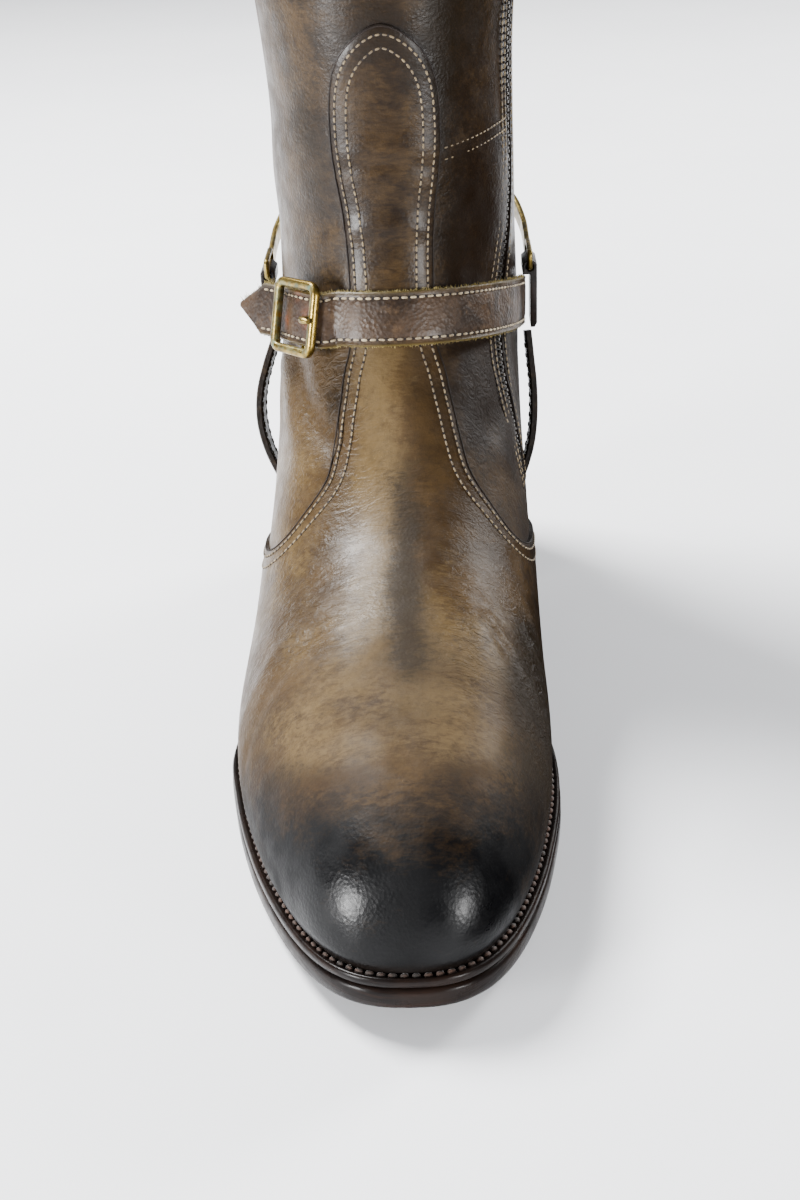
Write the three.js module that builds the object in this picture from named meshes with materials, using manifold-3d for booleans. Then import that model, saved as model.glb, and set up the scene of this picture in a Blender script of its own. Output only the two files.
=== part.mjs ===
// Right harness boot: burnished leather upper with a long tongue-shaped vamp, welted leather sole,
// stacked heel, inside zip, and a buckled ankle strap carrying a brass heel band.
// Millimetres. +Z is up, the toe points to -Y, the inside of the foot is at +X,
// and the origin is the middle of the heel's tread on the floor.
import * as THREE from 'three';
import { mergeVertices } from 'three/addons/utils/BufferGeometryUtils.js';
import Module from 'manifold-3d';

const wasm = await Module();
wasm.setup();

// Driving sizes
const OUTSOLE_LENGTH = 290;
const BALL_WIDTH = 97;
const BOOT_HEIGHT = 320;
const INSTEP_HEIGHT = 70;
const HEEL_LENGTH = 62;
const HEEL_HEIGHT = 30;
const HEEL_LIFT_HEIGHT = 6;
const HEEL_BACK_RAKE = 6;
const HEEL_SIDE_RAKE = 3;
const TOE_SPRING = 8;
const OUTSOLE_THICKNESS = 6.5;
const SOLE_EDGE_ROUND = 1.2;
const WELT_THICKNESS = 3;
const WELT_LEDGE = 4.5;
const HEEL_LEDGE = 2.5;
const UPPER_WALL = 2.4;
const VAMP_RISE = 1.3;
const INSOLE_THICKNESS = 5.5;
const INSOLE_CLEARANCE = 2.2;
const GAP = 0.3;

// Zip
const ZIP_CHAIN_WIDTH = 5.6;
const ZIP_TAPE_WIDTH = 24;
const ZIP_TAPE_THICKNESS = 0.9;
const SLIDER_LENGTH = 11;
const SLIDER_WIDTH = 8;
const SLIDER_THICKNESS = 2.6;
const PULL_LENGTH = 30;
const PULL_WIDTH = 6.5;
const PULL_THICKNESS = 1.6;
const PULL_PIN = 1.6;

// Harness
const STRAP_WIDTH = 16;
const STRAP_THICKNESS = 2.6;
const STRAP_HEIGHT = 120.5;
const STRAP_SLOPE = 0.26;
const STRAP_SLOPE_FROM = -70;
const STRAP_TAIL = 22;
const BILLET_THICKNESS = 2;
const BUCKLE_AZIMUTH = -30;
const BUCKLE_LENGTH = 22;
const BUCKLE_BAR = 2.8;
const CENTRE_BAR = 1.8;
const PRONG = 2.2;
const TAB_Y = -22;
const TAB_WIDTH = 12;
const TAB_HEIGHT = 21;
const TAB_THICKNESS = 2.2;
const BAND_HEIGHT = 6;
const BAND_THICKNESS = 2;
const BAND_RISE = 14;
const BAND_BACK_CLEARANCE = 15;
const UNDER_STRAP_WIDTH = 15;
const UNDER_STRAP_THICKNESS = 2.2;
const UNDER_STRAP_SWAY = 5;

// Worked out from the sizes above
const SOLE_BACK = HEEL_LENGTH / 2 + HEEL_BACK_RAKE;
const SOLE_TIP = SOLE_BACK - OUTSOLE_LENGTH;
const SOLE_TOP = OUTSOLE_THICKNESS + WELT_THICKNESS;
const FEATHER_UP = SOLE_TOP + 2 * GAP;
const SEAT = HEEL_HEIGHT + FEATHER_UP;
const SHAFT_RISE = BOOT_HEIGHT - SEAT;

// Outline of the sole. run: share of the length from the toe; half-widths: shares of BALL_WIDTH
const OUTLINE = {
  run: [0, 0.10, 0.20, 0.30, 0.38, 0.50, 0.62, 0.75, 0.88, 1],
  inside: [0.385, 0.395, 0.417, 0.438, 0.430, 0.368, 0.310, 0.305, 0.336, 0.345],
  outside: [0.400, 0.438, 0.490, 0.540, 0.568, 0.520, 0.440, 0.375, 0.352, 0.345],
};
const TOE_ROUND = { run: 0.39, power: 2.6 };
const HEEL_ROUND = { run: 0.13, power: 2.1 };
const TOE_BOX_ROUND = { run: 0.20, power: 2.2 };
const SPRING_FROM = 0.27;
const WAIST_FROM = 0.40;
const WAIST_TO = 0.76;

// Sections of the upper from toe to collar, each in a plane from a low or back point to a top or
// front point. run: share of the upper's length; climb: height of the back point over the seat,
// share of SHAFT_RISE; reach: forward to the front point, share of OUTSOLE_LENGTH; height: up to it,
// share of INSTEP_HEIGHT; inside, outside: widest half-widths, and ridge: shift of the front point,
// shares of BALL_WIDTH; widest: where along the section; top, low: roundness of its two parts
const SECTION_COLUMNS =
  ['run', 'climb', 'reach', 'height', 'inside', 'outside', 'widest', 'top', 'low', 'ridge'];
const SECTION_ROWS = [
  [0.00, 0.000, 0.000, 0.586, 0.371, 0.407, 0.20, 2.10, 2.0, 0.020],
  [0.07, 0.000, 0.000, 0.600, 0.371, 0.423, 0.20, 2.10, 2.0, 0.020],
  [0.15, 0.000, 0.000, 0.643, 0.381, 0.456, 0.21, 2.10, 2.0, 0.020],
  [0.24, 0.000, 0.000, 0.714, 0.392, 0.495, 0.22, 2.05, 2.0, 0.020],
  [0.32, 0.000, 0.000, 0.800, 0.392, 0.515, 0.24, 2.00, 2.0, 0.020],
  [0.40, 0.000, 0.003, 0.900, 0.390, 0.510, 0.26, 1.95, 2.0, 0.015],
  [0.48, 0.000, 0.017, 1.000, 0.390, 0.487, 0.29, 1.90, 2.0, 0.005],
  [0.56, 0.000, 0.052, 1.057, 0.390, 0.466, 0.32, 1.85, 2.0, -0.005],
  [0.65, 0.000, 0.103, 1.086, 0.390, 0.445, 0.34, 1.85, 2.0, -0.015],
  [0.75, 0.000, 0.176, 1.180, 0.390, 0.435, 0.36, 1.85, 2.1, -0.022],
  [0.86, 0.000, 0.272, 1.336, 0.394, 0.439, 0.38, 1.90, 2.1, -0.026],
  [0.95, 0.000, 0.353, 1.464, 0.398, 0.433, 0.40, 1.95, 2.1, -0.028],
  [1.00, 0.000, 0.398, 1.550, 0.400, 0.426, 0.41, 2.00, 2.1, -0.030],
  [1.00, 0.064, 0.409, 1.379, 0.400, 0.418, 0.43, 2.00, 2.1, -0.030],
  [1.00, 0.143, 0.403, 1.164, 0.396, 0.406, 0.45, 2.05, 2.1, -0.030],
  [1.00, 0.228, 0.381, 0.936, 0.390, 0.398, 0.46, 2.10, 2.1, -0.030],
  [1.00, 0.321, 0.367, 0.693, 0.388, 0.404, 0.47, 2.10, 2.1, -0.030],
  [1.00, 0.421, 0.368, 0.443, 0.386, 0.400, 0.48, 2.10, 2.1, -0.030],
  [1.00, 0.535, 0.376, 0.193, 0.388, 0.412, 0.49, 2.10, 2.1, -0.030],
  [1.00, 0.677, 0.391, 0.014, 0.407, 0.447, 0.50, 2.10, 2.1, -0.020],
  [1.00, 0.838, 0.412, 0.000, 0.443, 0.474, 0.50, 2.10, 2.1, -0.010],
  [1.00, 1.000, 0.438, 0.000, 0.474, 0.495, 0.50, 2.10, 2.1, 0.000],
];
// Back seam. climb: share of SHAFT_RISE; back: share of OUTSOLE_LENGTH behind the seat's back edge
const BACK_SEAM = {
  climb: [0, 0.043, 0.086, 0.143, 0.207, 0.271, 0.339, 0.428, 0.535, 0.677, 0.838, 1],
  back: [0, 0.010, 0.0135, 0.0085, -0.007, -0.020, -0.025, -0.022, -0.0155, -0.003, 0.011, 0.026],
};
// Tongue of the vamp from the front. rise: share of SHAFT_RISE over the seat; half: of BALL_WIDTH
const TONGUE = {
  rise: [0.180, 0.215, 0.251, 0.323, 0.394, 0.465, 0.515, 0.549, 0.572, 0.586, 0.594, 0.597],
  half: [0.145, 0.140, 0.130, 0.124, 0.131, 0.157, 0.159, 0.144, 0.110, 0.068, 0.030, 0.000],
};
// Seam of the vamp from the side, tongue to welt. run: share of OUTSOLE_LENGTH; rise: of SHAFT_RISE
const VAMP_SEAM = {
  run: [0.545, 0.528, 0.510, 0.494, 0.483, 0.481, 0.490, 0.515, 0.565, 0.640, 0.710, 0.760],
  rise: [0.250, 0.216, 0.187, 0.152, 0.118, 0.096, 0.078, 0.062, 0.052, 0.035, 0.012, -0.010],
};
// Middle of the zip from the side, bottom to top. back: share of OUTSOLE_LENGTH behind the heel's
// middle; rise: share of SHAFT_RISE
const ZIP_LINE = {
  back: [-0.262, -0.250, -0.228, -0.195, -0.163, -0.145, -0.140, -0.135, -0.128],
  rise: [0.090, 0.150, 0.205, 0.260, 0.310, 0.370, 0.560, 0.780, 1.020],
};

const INSIDE = 1;
const OUTSIDE = -1;

// Smooth curve through a table's points, held at its ends
function spline(xs, ys, x) {
  const last = xs.length - 1;
  const at = Math.min(Math.max(x, xs[0]), xs[last]);
  let i = 0;
  while (i < last - 1 && at >= xs[i + 1]) i += 1;
  const slope = (k) => {
    const a = Math.max(k - 1, 0);
    const b = Math.min(k + 1, last);
    return (ys[b] - ys[a]) / (xs[b] - xs[a]);
  };
  const h = xs[i + 1] - xs[i];
  const t = (at - xs[i]) / h;
  const t2 = t * t;
  const t3 = t2 * t;
  return (2 * t3 - 3 * t2 + 1) * ys[i] + (t3 - 2 * t2 + t) * h * slope(i)
    + (3 * t2 - 2 * t3) * ys[i + 1] + (t3 - t2) * h * slope(i + 1);
}

function smoothstep(x, from, to) {
  const t = Math.min(Math.max((x - from) / (to - from), 0), 1);
  return t * t * (3 - 2 * t);
}

function endRound(distance, { run, power }) {
  const q = Math.min(Math.max(1 - distance / run, 0), 1);
  return (1 - q ** power) ** (1 / power);
}

const sideColumn = (side) => (side === INSIDE ? 'inside' : 'outside');

// Height of the outsole's underside over the floor
function undersideHeight(y) {
  const run = (y - SOLE_TIP) / OUTSOLE_LENGTH;
  const spring = Math.max(SPRING_FROM - run, 0) / SPRING_FROM;
  return TOE_SPRING * spring ** 2 + HEEL_HEIGHT * smoothstep(run, WAIST_FROM, WAIST_TO);
}

// Outline of the sole, taken in by toeInset at the toe and sides and by heelInset round the heel
function outline(run, side, toeInset, heelInset) {
  const tip = SOLE_TIP + toeInset;
  const back = SOLE_BACK - heelInset;
  const inset = toeInset + (heelInset - toeInset) * smoothstep(run, 0.5, 0.8);
  const plain = spline(OUTLINE.run, OUTLINE[sideColumn(side)], run) * BALL_WIDTH - inset;
  const half = plain * endRound(run, TOE_ROUND) * endRound(1 - run, HEEL_ROUND);
  return { y: tip + (back - tip) * run, half };
}

// The line where the upper meets the welt, grown outward by offset
const feather = (run, side, offset) => outline(run, side, WELT_LEDGE - offset, HEEL_LEDGE - offset);

const climbToBack = (climb) =>
  OUTSOLE_LENGTH * spline(BACK_SEAM.climb, BACK_SEAM.back, climb / SHAFT_RISE);

// Solids from triangles: shared points are merged and the faces turned outward
function closedGeometry(points, triangles) {
  const raw = new THREE.BufferGeometry();
  raw.setAttribute('position', new THREE.Float32BufferAttribute(points.flat(), 3));
  raw.setIndex(triangles.flat());
  const merged = mergeVertices(raw, 1e-3);
  const index = merged.getIndex().array;
  const position = merged.getAttribute('position');
  const kept = [];
  let volume = 0;
  const [a, b, c] = [new THREE.Vector3(), new THREE.Vector3(), new THREE.Vector3()];
  for (let i = 0; i < index.length; i += 3) {
    const [p, q, r] = [index[i], index[i + 1], index[i + 2]];
    if (p === q || q === r || r === p) continue;
    kept.push(p, q, r);
    a.fromBufferAttribute(position, p);
    b.fromBufferAttribute(position, q);
    c.fromBufferAttribute(position, r);
    volume += a.dot(b.cross(c));
  }
  if (volume < 0) kept.reverse();
  const geometry = new THREE.BufferGeometry();
  geometry.setAttribute('position', position);
  geometry.setIndex(kept);
  return geometry;
}

function toManifold(geometry) {
  const plain = geometry.clone();
  plain.deleteAttribute('normal');
  plain.deleteAttribute('uv');
  const merged = mergeVertices(plain, 1e-3);
  const vertProperties = new Float32Array(merged.getAttribute('position').array);
  const triVerts = new Uint32Array(merged.getIndex().array);
  return new wasm.Manifold(new wasm.Mesh({ numProp: 3, vertProperties, triVerts }));
}

const SLIVER = 0.02;
function fromManifold(solid) {
  const mesh = solid.simplify(SLIVER).getMesh();
  const geometry = new THREE.BufferGeometry();
  geometry.setAttribute('position', new THREE.Float32BufferAttribute(mesh.vertProperties, 3));
  geometry.setIndex(Array.from(mesh.triVerts));
  return geometry;
}

const join = (...geometries) =>
  fromManifold(geometries.map(toManifold).reduce((whole, piece) => whole.add(piece)));
const cut = (geometry, ...tools) =>
  fromManifold(tools.map(toManifold).reduce((whole, tool) => whole.subtract(tool), toManifold(geometry)));
const common = (a, b) => fromManifold(toManifold(a).intersect(toManifold(b)));

// Rows of points joined into a skin; a closed row joins its last point to its first
function skin(triangles, rows, closed) {
  for (let i = 0; i + 1 < rows.length; i += 1) {
    const [low, high] = [rows[i], rows[i + 1]];
    const steps = closed ? low.length : low.length - 1;
    for (let j = 0; j < steps; j += 1) {
      const k = (j + 1) % low.length;
      triangles.push([low[j], low[k], high[k]], [low[j], high[k], high[j]]);
    }
  }
}

// Flat pieces of the sole: stacked rings, each with an inside and an outside edge over the same runs
function plateSolid(rings) {
  const points = [];
  const add = (p) => points.push(p) - 1;
  const ids = rings.map((ring) => ring.map(({ inside, outside }) => [add(inside), add(outside)]));
  const loops = ids.map((ring) => [...ring.map((r) => r[0]), ...ring.map((r) => r[1]).reverse()]);
  const triangles = [];
  skin(triangles, loops, true);
  skin(triangles, [ids[0].map((r) => r[1]), ids[0].map((r) => r[0])], false);
  const top = ids[ids.length - 1];
  skin(triangles, [top.map((r) => r[0]), top.map((r) => r[1])], false);
  return closedGeometry(points, triangles);
}

const SOLE_STEPS = 44;
const easedRuns = (from, to, steps) =>
  Array.from({ length: steps + 1 }, (_, i) => from + (to - from) * (1 - Math.cos((Math.PI * i) / steps)) / 2);

function soleRing(runs, toeInset, heelInset, heightAt) {
  return runs.map((run) => {
    const inside = outline(run, INSIDE, toeInset, heelInset);
    const outside = outline(run, OUTSIDE, toeInset, heelInset);
    const z = heightAt(inside.y);
    return { inside: [inside.half, inside.y, z], outside: [-outside.half, outside.y, z] };
  });
}

function outsole() {
  const runs = easedRuns(0, 1, SOLE_STEPS);
  const level = (inset, up) => soleRing(runs, inset, inset, (y) => undersideHeight(y) + up);
  const round = SOLE_EDGE_ROUND;
  return plateSolid([
    level(round, 0),
    level(0, round),
    level(0, OUTSOLE_THICKNESS - round * 0.5),
    level(round * 0.5, OUTSOLE_THICKNESS),
  ]);
}

// The welt is a ring: its inner edge stands under the inner face of the upper
function welt() {
  const runs = easedRuns(0, 1, SOLE_STEPS);
  const from = OUTSOLE_THICKNESS + GAP;
  const level = (inset, up) => soleRing(runs, inset, inset, (y) => undersideHeight(y) + up);
  const body = plateSolid([
    level(0.6, from),
    level(0.6, SOLE_TOP - 0.8),
    level(1.4, SOLE_TOP),
  ]);
  const [toeInset, heelInset] = [WELT_LEDGE + UPPER_WALL, HEEL_LEDGE + UPPER_WALL];
  const clear = (up) => soleRing(runs, toeInset, heelInset, (y) => undersideHeight(y) + up);
  const hole = plateSolid([clear(from - 1), clear(SOLE_TOP + 1)]);
  return cut(body, hole);
}

function insole() {
  const runs = easedRuns(0, 1, SOLE_STEPS);
  const from = OUTSOLE_THICKNESS + 2 * GAP;
  const inset = UPPER_WALL + INSOLE_CLEARANCE;
  const [toeInset, heelInset] = [WELT_LEDGE + inset, HEEL_LEDGE + inset];
  const level = (up) => soleRing(runs, toeInset, heelInset, (y) => undersideHeight(y) + up);
  return plateSolid([level(from), level(from + INSOLE_THICKNESS)]);
}

// Heel: from a straight breast back to the rounded back, narrowing toward the floor
function heelSolid(bottom, top) {
  const breast = (SOLE_BACK - HEEL_LENGTH - HEEL_BACK_RAKE - SOLE_TIP) / OUTSOLE_LENGTH;
  const runs = easedRuns(breast, 1, SOLE_STEPS / 2);
  const level = (z, extra) => {
    const lean = 1 - z / HEEL_HEIGHT;
    const sideInset = HEEL_SIDE_RAKE * lean + extra;
    const backInset = HEEL_BACK_RAKE * lean + extra;
    return runs.map((run) => {
      const share = (run - breast) / (1 - breast);
      const back = SOLE_BACK - backInset;
      const y = -HEEL_LENGTH / 2 + extra + (back + HEEL_LENGTH / 2 - extra) * share;
      const half = (side) => outline(run, side, 0, 0).half * (1 - sideInset / (BALL_WIDTH * 0.35));
      return { inside: [half(INSIDE), y, z], outside: [-half(OUTSIDE), y, z] };
    });
  };
  const edge = 0.6;
  return plateSolid([level(bottom, edge), level(bottom + edge, 0), level(top - edge, 0), level(top, edge)]);
}

// Sections of the upper
const sectionColumn = (name) => {
  const k = SECTION_COLUMNS.indexOf(name);
  return SECTION_ROWS.map((row) => row[k]);
};
const SECTIONS = Object.fromEntries(SECTION_COLUMNS.map((name) => [name, sectionColumn(name)]));

// Stations are spaced by how far the low and front points move from row to row
const STATIONS = (() => {
  const ends = SECTION_ROWS.map(([run, climb, reach, height]) => {
    const y = feather(run, INSIDE, 0).y + climbToBack(climb * SHAFT_RISE);
    const z = undersideHeight(feather(run, INSIDE, 0).y) + FEATHER_UP + climb * SHAFT_RISE;
    return [y, z, y - reach * OUTSOLE_LENGTH, z + height * INSTEP_HEIGHT];
  });
  const stations = [0];
  for (let i = 1; i < ends.length; i += 1) {
    const [a, b] = [ends[i - 1], ends[i]];
    const moved = Math.hypot(b[0] - a[0], b[1] - a[1]) + Math.hypot(b[2] - a[2], b[3] - a[3]);
    stations.push(stations[i - 1] + moved);
  }
  return stations.map((s) => s / stations[stations.length - 1]);
})();
const HEEL_ROW = SECTION_ROWS.findIndex(([run]) => run === 1);
const sectionAt = (name, u) => spline(STATIONS, SECTIONS[name], u);

// Low or back point and front point of the section at station u, grown outward by offset
function sectionEnds(u, offset) {
  const run = Math.min(Math.max(sectionAt('run', u), 0), 1);
  const climb = u > STATIONS[HEEL_ROW] ? Math.max(sectionAt('climb', u), 0) * SHAFT_RISE : 0;
  const centre = (grow) => {
    const low = feather(run, INSIDE, grow).y;
    const y = low + climbToBack(climb);
    return { y, z: undersideHeight(low) + FEATHER_UP + climb };
  };
  const plain = centre(0);
  const rise = sectionAt('height', u) * INSTEP_HEIGHT * endRound(run, TOE_BOX_ROUND);
  const front = { y: plain.y - sectionAt('reach', u) * OUTSOLE_LENGTH, z: plain.z + rise };
  return { run, climb, back: centre(offset), front };
}

function frontPoint(u, offset) {
  const step = 0.002;
  const a = sectionEnds(Math.max(u - step, 0), 0).front;
  const b = sectionEnds(Math.min(u + step, 1), 0).front;
  const length = Math.hypot(b.y - a.y, b.z - a.z);
  const { front } = sectionEnds(u, 0);
  const level = smoothstep(u, STATIONS[SECTION_ROWS.length - 3], 1);
  const up = (offset * (b.y - a.y) / length) * (1 - level);
  return { y: front.y - offset * (b.z - a.z) / length, z: front.z + up };
}

// Half-width of the section as a share of its widest, at share w from the low to the front point
function sectionShape(u, side, offset) {
  const { run, climb, back } = sectionEnds(u, offset);
  const round = endRound(run, TOE_ROUND);
  const widest = (sectionAt(sideColumn(side), u) * BALL_WIDTH + offset) * round;
  const open = climb > 0 ? 0 : Math.min(feather(run, side, offset).half, widest * 0.999);
  const at = sectionAt('widest', u);
  const [top, low] = [sectionAt('top', u), sectionAt('low', u)];
  const drop = at / (1 - (widest > 0 ? open / widest : 0) ** low) ** (1 / low);
  const ridge = sectionAt('ridge', u) * BALL_WIDTH;
  return { widest, at, top, low, drop, back, front: frontPoint(u, offset), ridge };
}

const FINE = 40;
// Points from the top centre line down one side, equally spaced along the section
function halfSection(u, side, offset, count) {
  const s = sectionShape(u, side, offset);
  const fine = [];
  const place = (half, w) => fine.push([
    side * half + s.ridge * w,
    s.back.y + (s.front.y - s.back.y) * w,
    s.back.z + (s.front.z - s.back.z) * w,
  ]);
  for (let i = 0; i <= FINE; i += 1) {
    const angle = (Math.PI / 2) * (i / FINE);
    place(s.widest * Math.sin(angle) ** (2 / s.top), s.at + (1 - s.at) * Math.cos(angle) ** (2 / s.top));
  }
  const end = Math.asin(Math.min(s.at / s.drop, 1) ** (s.low / 2));
  for (let i = 1; i <= FINE; i += 1) {
    const angle = end * (i / FINE);
    const w = Math.max(s.at - s.drop * Math.sin(angle) ** (2 / s.low), 0);
    place(s.widest * Math.cos(angle) ** (2 / s.low), w);
  }
  const along = [0];
  for (let i = 1; i < fine.length; i += 1) {
    along.push(along[i - 1] + Math.hypot(...fine[i].map((v, k) => v - fine[i - 1][k])));
  }
  const total = along[along.length - 1];
  return Array.from({ length: count + 1 }, (_, i) => {
    const at = (total * i) / count;
    let k = 0;
    while (k < along.length - 2 && along[k + 1] < at) k += 1;
    const t = Math.min(Math.max((at - along[k]) / Math.max(along[k + 1] - along[k], 1e-9), 0), 1);
    return fine[k].map((v, axis) => v + (fine[k + 1][axis] - v) * t);
  });
}

// Stations of the skin's rows: close round the toe, closest round the heel, widest up the shaft
const SHAFT_ROW = HEEL_ROW + 5;
function skinStations() {
  const stations = [0, 1, 2, 3, 4].map((k) => STATIONS[1] * (k / 5) ** 2);
  for (let i = 1; i + 1 < STATIONS.length; i += 1) {
    const parts = i >= SHAFT_ROW ? 1 : i < HEEL_ROW && i >= HEEL_ROW - 3 ? 4 : 2;
    for (let k = 0; k < parts; k += 1) {
      stations.push(STATIONS[i] + (STATIONS[i + 1] - STATIONS[i]) * (k / parts));
    }
  }
  return [...stations, 1];
}

// A closed wall of the upper between two offsets from its outer face, open at collar and underneath
function upperWall(outer, inner) {
  const stations = skinStations();
  const heel = stations.findIndex((u) => u >= STATIONS[HEEL_ROW] - 1e-9);
  const points = [];
  const add = (p) => points.push(p) - 1;
  const faceRows = (offset) => stations.map((u) => {
    const inside = halfSection(u, INSIDE, offset, SKIN_COLUMNS);
    const outside = halfSection(u, OUTSIDE, offset, SKIN_COLUMNS);
    return [...outside.reverse(), ...inside.slice(1)].map(add);
  });
  const [out, within] = [faceRows(outer), faceRows(inner)];
  const triangles = [];
  skin(triangles, out, false);
  skin(triangles, within.map((row) => [...row].reverse()), false);
  const last = out[0].length - 1;
  const rim = (edge) => [out, within].map((face) => face.slice(0, heel + 1).map((row) => row[edge]));
  skin(triangles, rim(0), false);
  skin(triangles, rim(last).reverse(), false);
  skin(triangles, [out[out.length - 1], within[within.length - 1]], false);
  return closedGeometry(points, triangles);
}

// Half-width of the upper at a place seen from the side, or null outside its outline
function sideHalf(side, y, z, offset = 0) {
  const behind = (u) => {
    const { back, front } = { back: sectionEnds(u, offset).back, front: frontPoint(u, offset) };
    return (front.y - back.y) * (z - back.z) - (front.z - back.z) * (y - back.y);
  };
  let [a, b] = [0.02, 1];
  if (behind(a) * behind(b) > 0) return null;
  for (let i = 0; i < 30; i += 1) {
    const middle = (a + b) / 2;
    if (behind(a) * behind(middle) <= 0) b = middle;
    else a = middle;
  }
  const s = sectionShape(a, side, offset);
  const length2 = (s.front.y - s.back.y) ** 2 + (s.front.z - s.back.z) ** 2;
  const w = ((y - s.back.y) * (s.front.y - s.back.y) + (z - s.back.z) * (s.front.z - s.back.z)) / length2;
  if (w < 0 || w > 1) return null;
  const share = w >= s.at
    ? (1 - ((w - s.at) / (1 - s.at)) ** s.top) ** (1 / s.top)
    : (1 - ((s.at - w) / s.drop) ** s.low) ** (1 / s.low);
  return s.widest * share + side * s.ridge * w;
}

// The ankle's middle, and the upper's face at a turn from the front (degrees, inside positive)
const ANKLE_Y = -0.1 * OUTSOLE_LENGTH;
function wallPoint(turn, z) {
  const angle = THREE.MathUtils.degToRad(turn);
  const side = turn >= 0 ? INSIDE : OUTSIDE;
  const spot = (r) => [r * Math.sin(angle), ANKLE_Y - r * Math.cos(angle)];
  let [a, b] = [5, BALL_WIDTH];
  for (let i = 0; i < 24; i += 1) {
    const middle = (a + b) / 2;
    const [x, y] = spot(middle);
    const half = sideHalf(side, y, z);
    if (half !== null && side * x < half) a = middle;
    else b = middle;
  }
  const [x, y] = spot(a);
  return new THREE.Vector3(x, y, z);
}

// Outlines seen from the side (y, z) or the front (x, z), pushed through the boot
function sidePrism(points, fromX, toX) {
  const shape = new THREE.Shape(points.map(([y, z]) => new THREE.Vector2(y, z)));
  const geometry = new THREE.ExtrudeGeometry(shape, { depth: toX - fromX, bevelEnabled: false });
  geometry.applyMatrix4(new THREE.Matrix4().makeBasis(
    new THREE.Vector3(0, 1, 0), new THREE.Vector3(0, 0, 1), new THREE.Vector3(1, 0, 0)));
  geometry.translate(fromX, 0, 0);
  return geometry;
}

function frontPrism(points, fromY, toY) {
  const shape = new THREE.Shape(points.map(([x, z]) => new THREE.Vector2(x, z)));
  const geometry = new THREE.ExtrudeGeometry(shape, { depth: toY - fromY, bevelEnabled: false });
  geometry.rotateX(Math.PI / 2);
  geometry.translate(0, toY, 0);
  return geometry;
}

function curveThrough(xs, ys, steps) {
  const curve = new THREE.SplineCurve(xs.map((x, i) => new THREE.Vector2(x, ys[i])));
  return curve.getSpacedPoints(steps).map((p) => [p.x, p.y]);
}

const heightAt = (rise) => SEAT + rise * SHAFT_RISE;

// The vamp's pattern: a tongue seen from the front and the side seams seen from the side
function vampPattern() {
  const centre = sectionAt('ridge', 0.6) * BALL_WIDTH;
  const edge = curveThrough(TONGUE.half.map((h) => h * BALL_WIDTH), TONGUE.rise.map(heightAt), 26);
  const tongue = [
    ...edge.map(([half, z]) => [centre + half, z]),
    ...edge.slice(0, -1).reverse().map(([half, z]) => [centre - half, z]),
  ];
  const seamRuns = VAMP_SEAM.run.map((r) => SOLE_TIP + r * OUTSOLE_LENGTH);
  const seam = curveThrough(seamRuns, VAMP_SEAM.rise.map(heightAt), 26);
  const front = SOLE_TIP - BALL_WIDTH;
  const seamEnd = seam[seam.length - 1][0];
  const side = [[front, seam[0][1]], ...seam, [seamEnd, -HEEL_HEIGHT], [front, -HEEL_HEIGHT]];
  return join(
    frontPrism(tongue, SOLE_TIP, ANKLE_Y - BALL_WIDTH * 0.25),
    sidePrism(side, -BALL_WIDTH, BALL_WIDTH),
  );
}

// A strip of the inside wall along the zip
function zipStrip(half, bottomExtra) {
  const ys = ZIP_LINE.back.map((b) => b * OUTSOLE_LENGTH);
  const line = curveThrough(ys, ZIP_LINE.rise.map(heightAt), 22);
  const edge = (sign) => line.map(([y, z], i) => {
    const [a, b] = [line[Math.max(i - 1, 0)], line[Math.min(i + 1, line.length - 1)]];
    const length = Math.hypot(b[0] - a[0], b[1] - a[1]);
    const down = i === 0 ? bottomExtra : 0;
    const [ty, tz] = [(b[0] - a[0]) / length, (b[1] - a[1]) / length];
    return [y - sign * half * tz - down * ty, z + sign * half * ty - down * tz];
  });
  return sidePrism([...edge(1), ...edge(-1).reverse()], BALL_WIDTH * 0.14, BALL_WIDTH);
}

const SKIN_COLUMNS = 12;

function upper() {
  const body = upperWall(0, -UPPER_WALL);
  const raised = upperWall(VAMP_RISE, -UPPER_WALL / 2);
  const whole = join(body, common(raised, vampPattern()));
  return cut(whole, zipStrip(ZIP_CHAIN_WIDTH / 2 + GAP, GAP));
}

const zipChain = () => common(
  upperWall(-GAP, -UPPER_WALL + GAP),
  cut(zipStrip(ZIP_CHAIN_WIDTH / 2, 0), aboveCollar()),
);
const zipTape = () => common(
  upperWall(-UPPER_WALL - 2 * GAP, -UPPER_WALL - 2 * GAP - ZIP_TAPE_THICKNESS),
  cut(zipStrip(ZIP_TAPE_WIDTH / 2, ZIP_CHAIN_WIDTH), aboveCollar()),
);

function aboveCollar() {
  const box = new THREE.BoxGeometry(3 * BALL_WIDTH, 3 * BALL_WIDTH, BALL_WIDTH);
  box.translate(0, 0, BOOT_HEIGHT - GAP + BALL_WIDTH / 2);
  return box;
}

// A band swept through frames: centre, outward normal and width direction, with its own half-width
const BAND_EDGE = 0.5;
function bandSolid(frames, thickness) {
  const points = [];
  const rows = frames.map(({ centre, normal, across, half }) => {
    const [t, e] = [thickness / 2, Math.min(BAND_EDGE, half / 2)];
    const corners = [
      [-t, e - half], [-t, half - e], [e - t, half], [t - e, half],
      [t, half - e], [t, e - half], [t - e, -half], [e - t, -half],
    ];
    return corners.map(([n, w]) => {
      const p = centre.clone().addScaledVector(normal, n).addScaledVector(across, w);
      return points.push([p.x, p.y, p.z]) - 1;
    });
  });
  const triangles = [];
  skin(triangles, rows, true);
  const fan = (row, flip) => {
    for (let i = 1; i + 1 < row.length; i += 1) {
      triangles.push(flip ? [row[0], row[i + 1], row[i]] : [row[0], row[i], row[i + 1]]);
    }
  };
  fan(rows[0], true);
  fan(rows[rows.length - 1], false);
  return closedGeometry(points, triangles);
}

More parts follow.
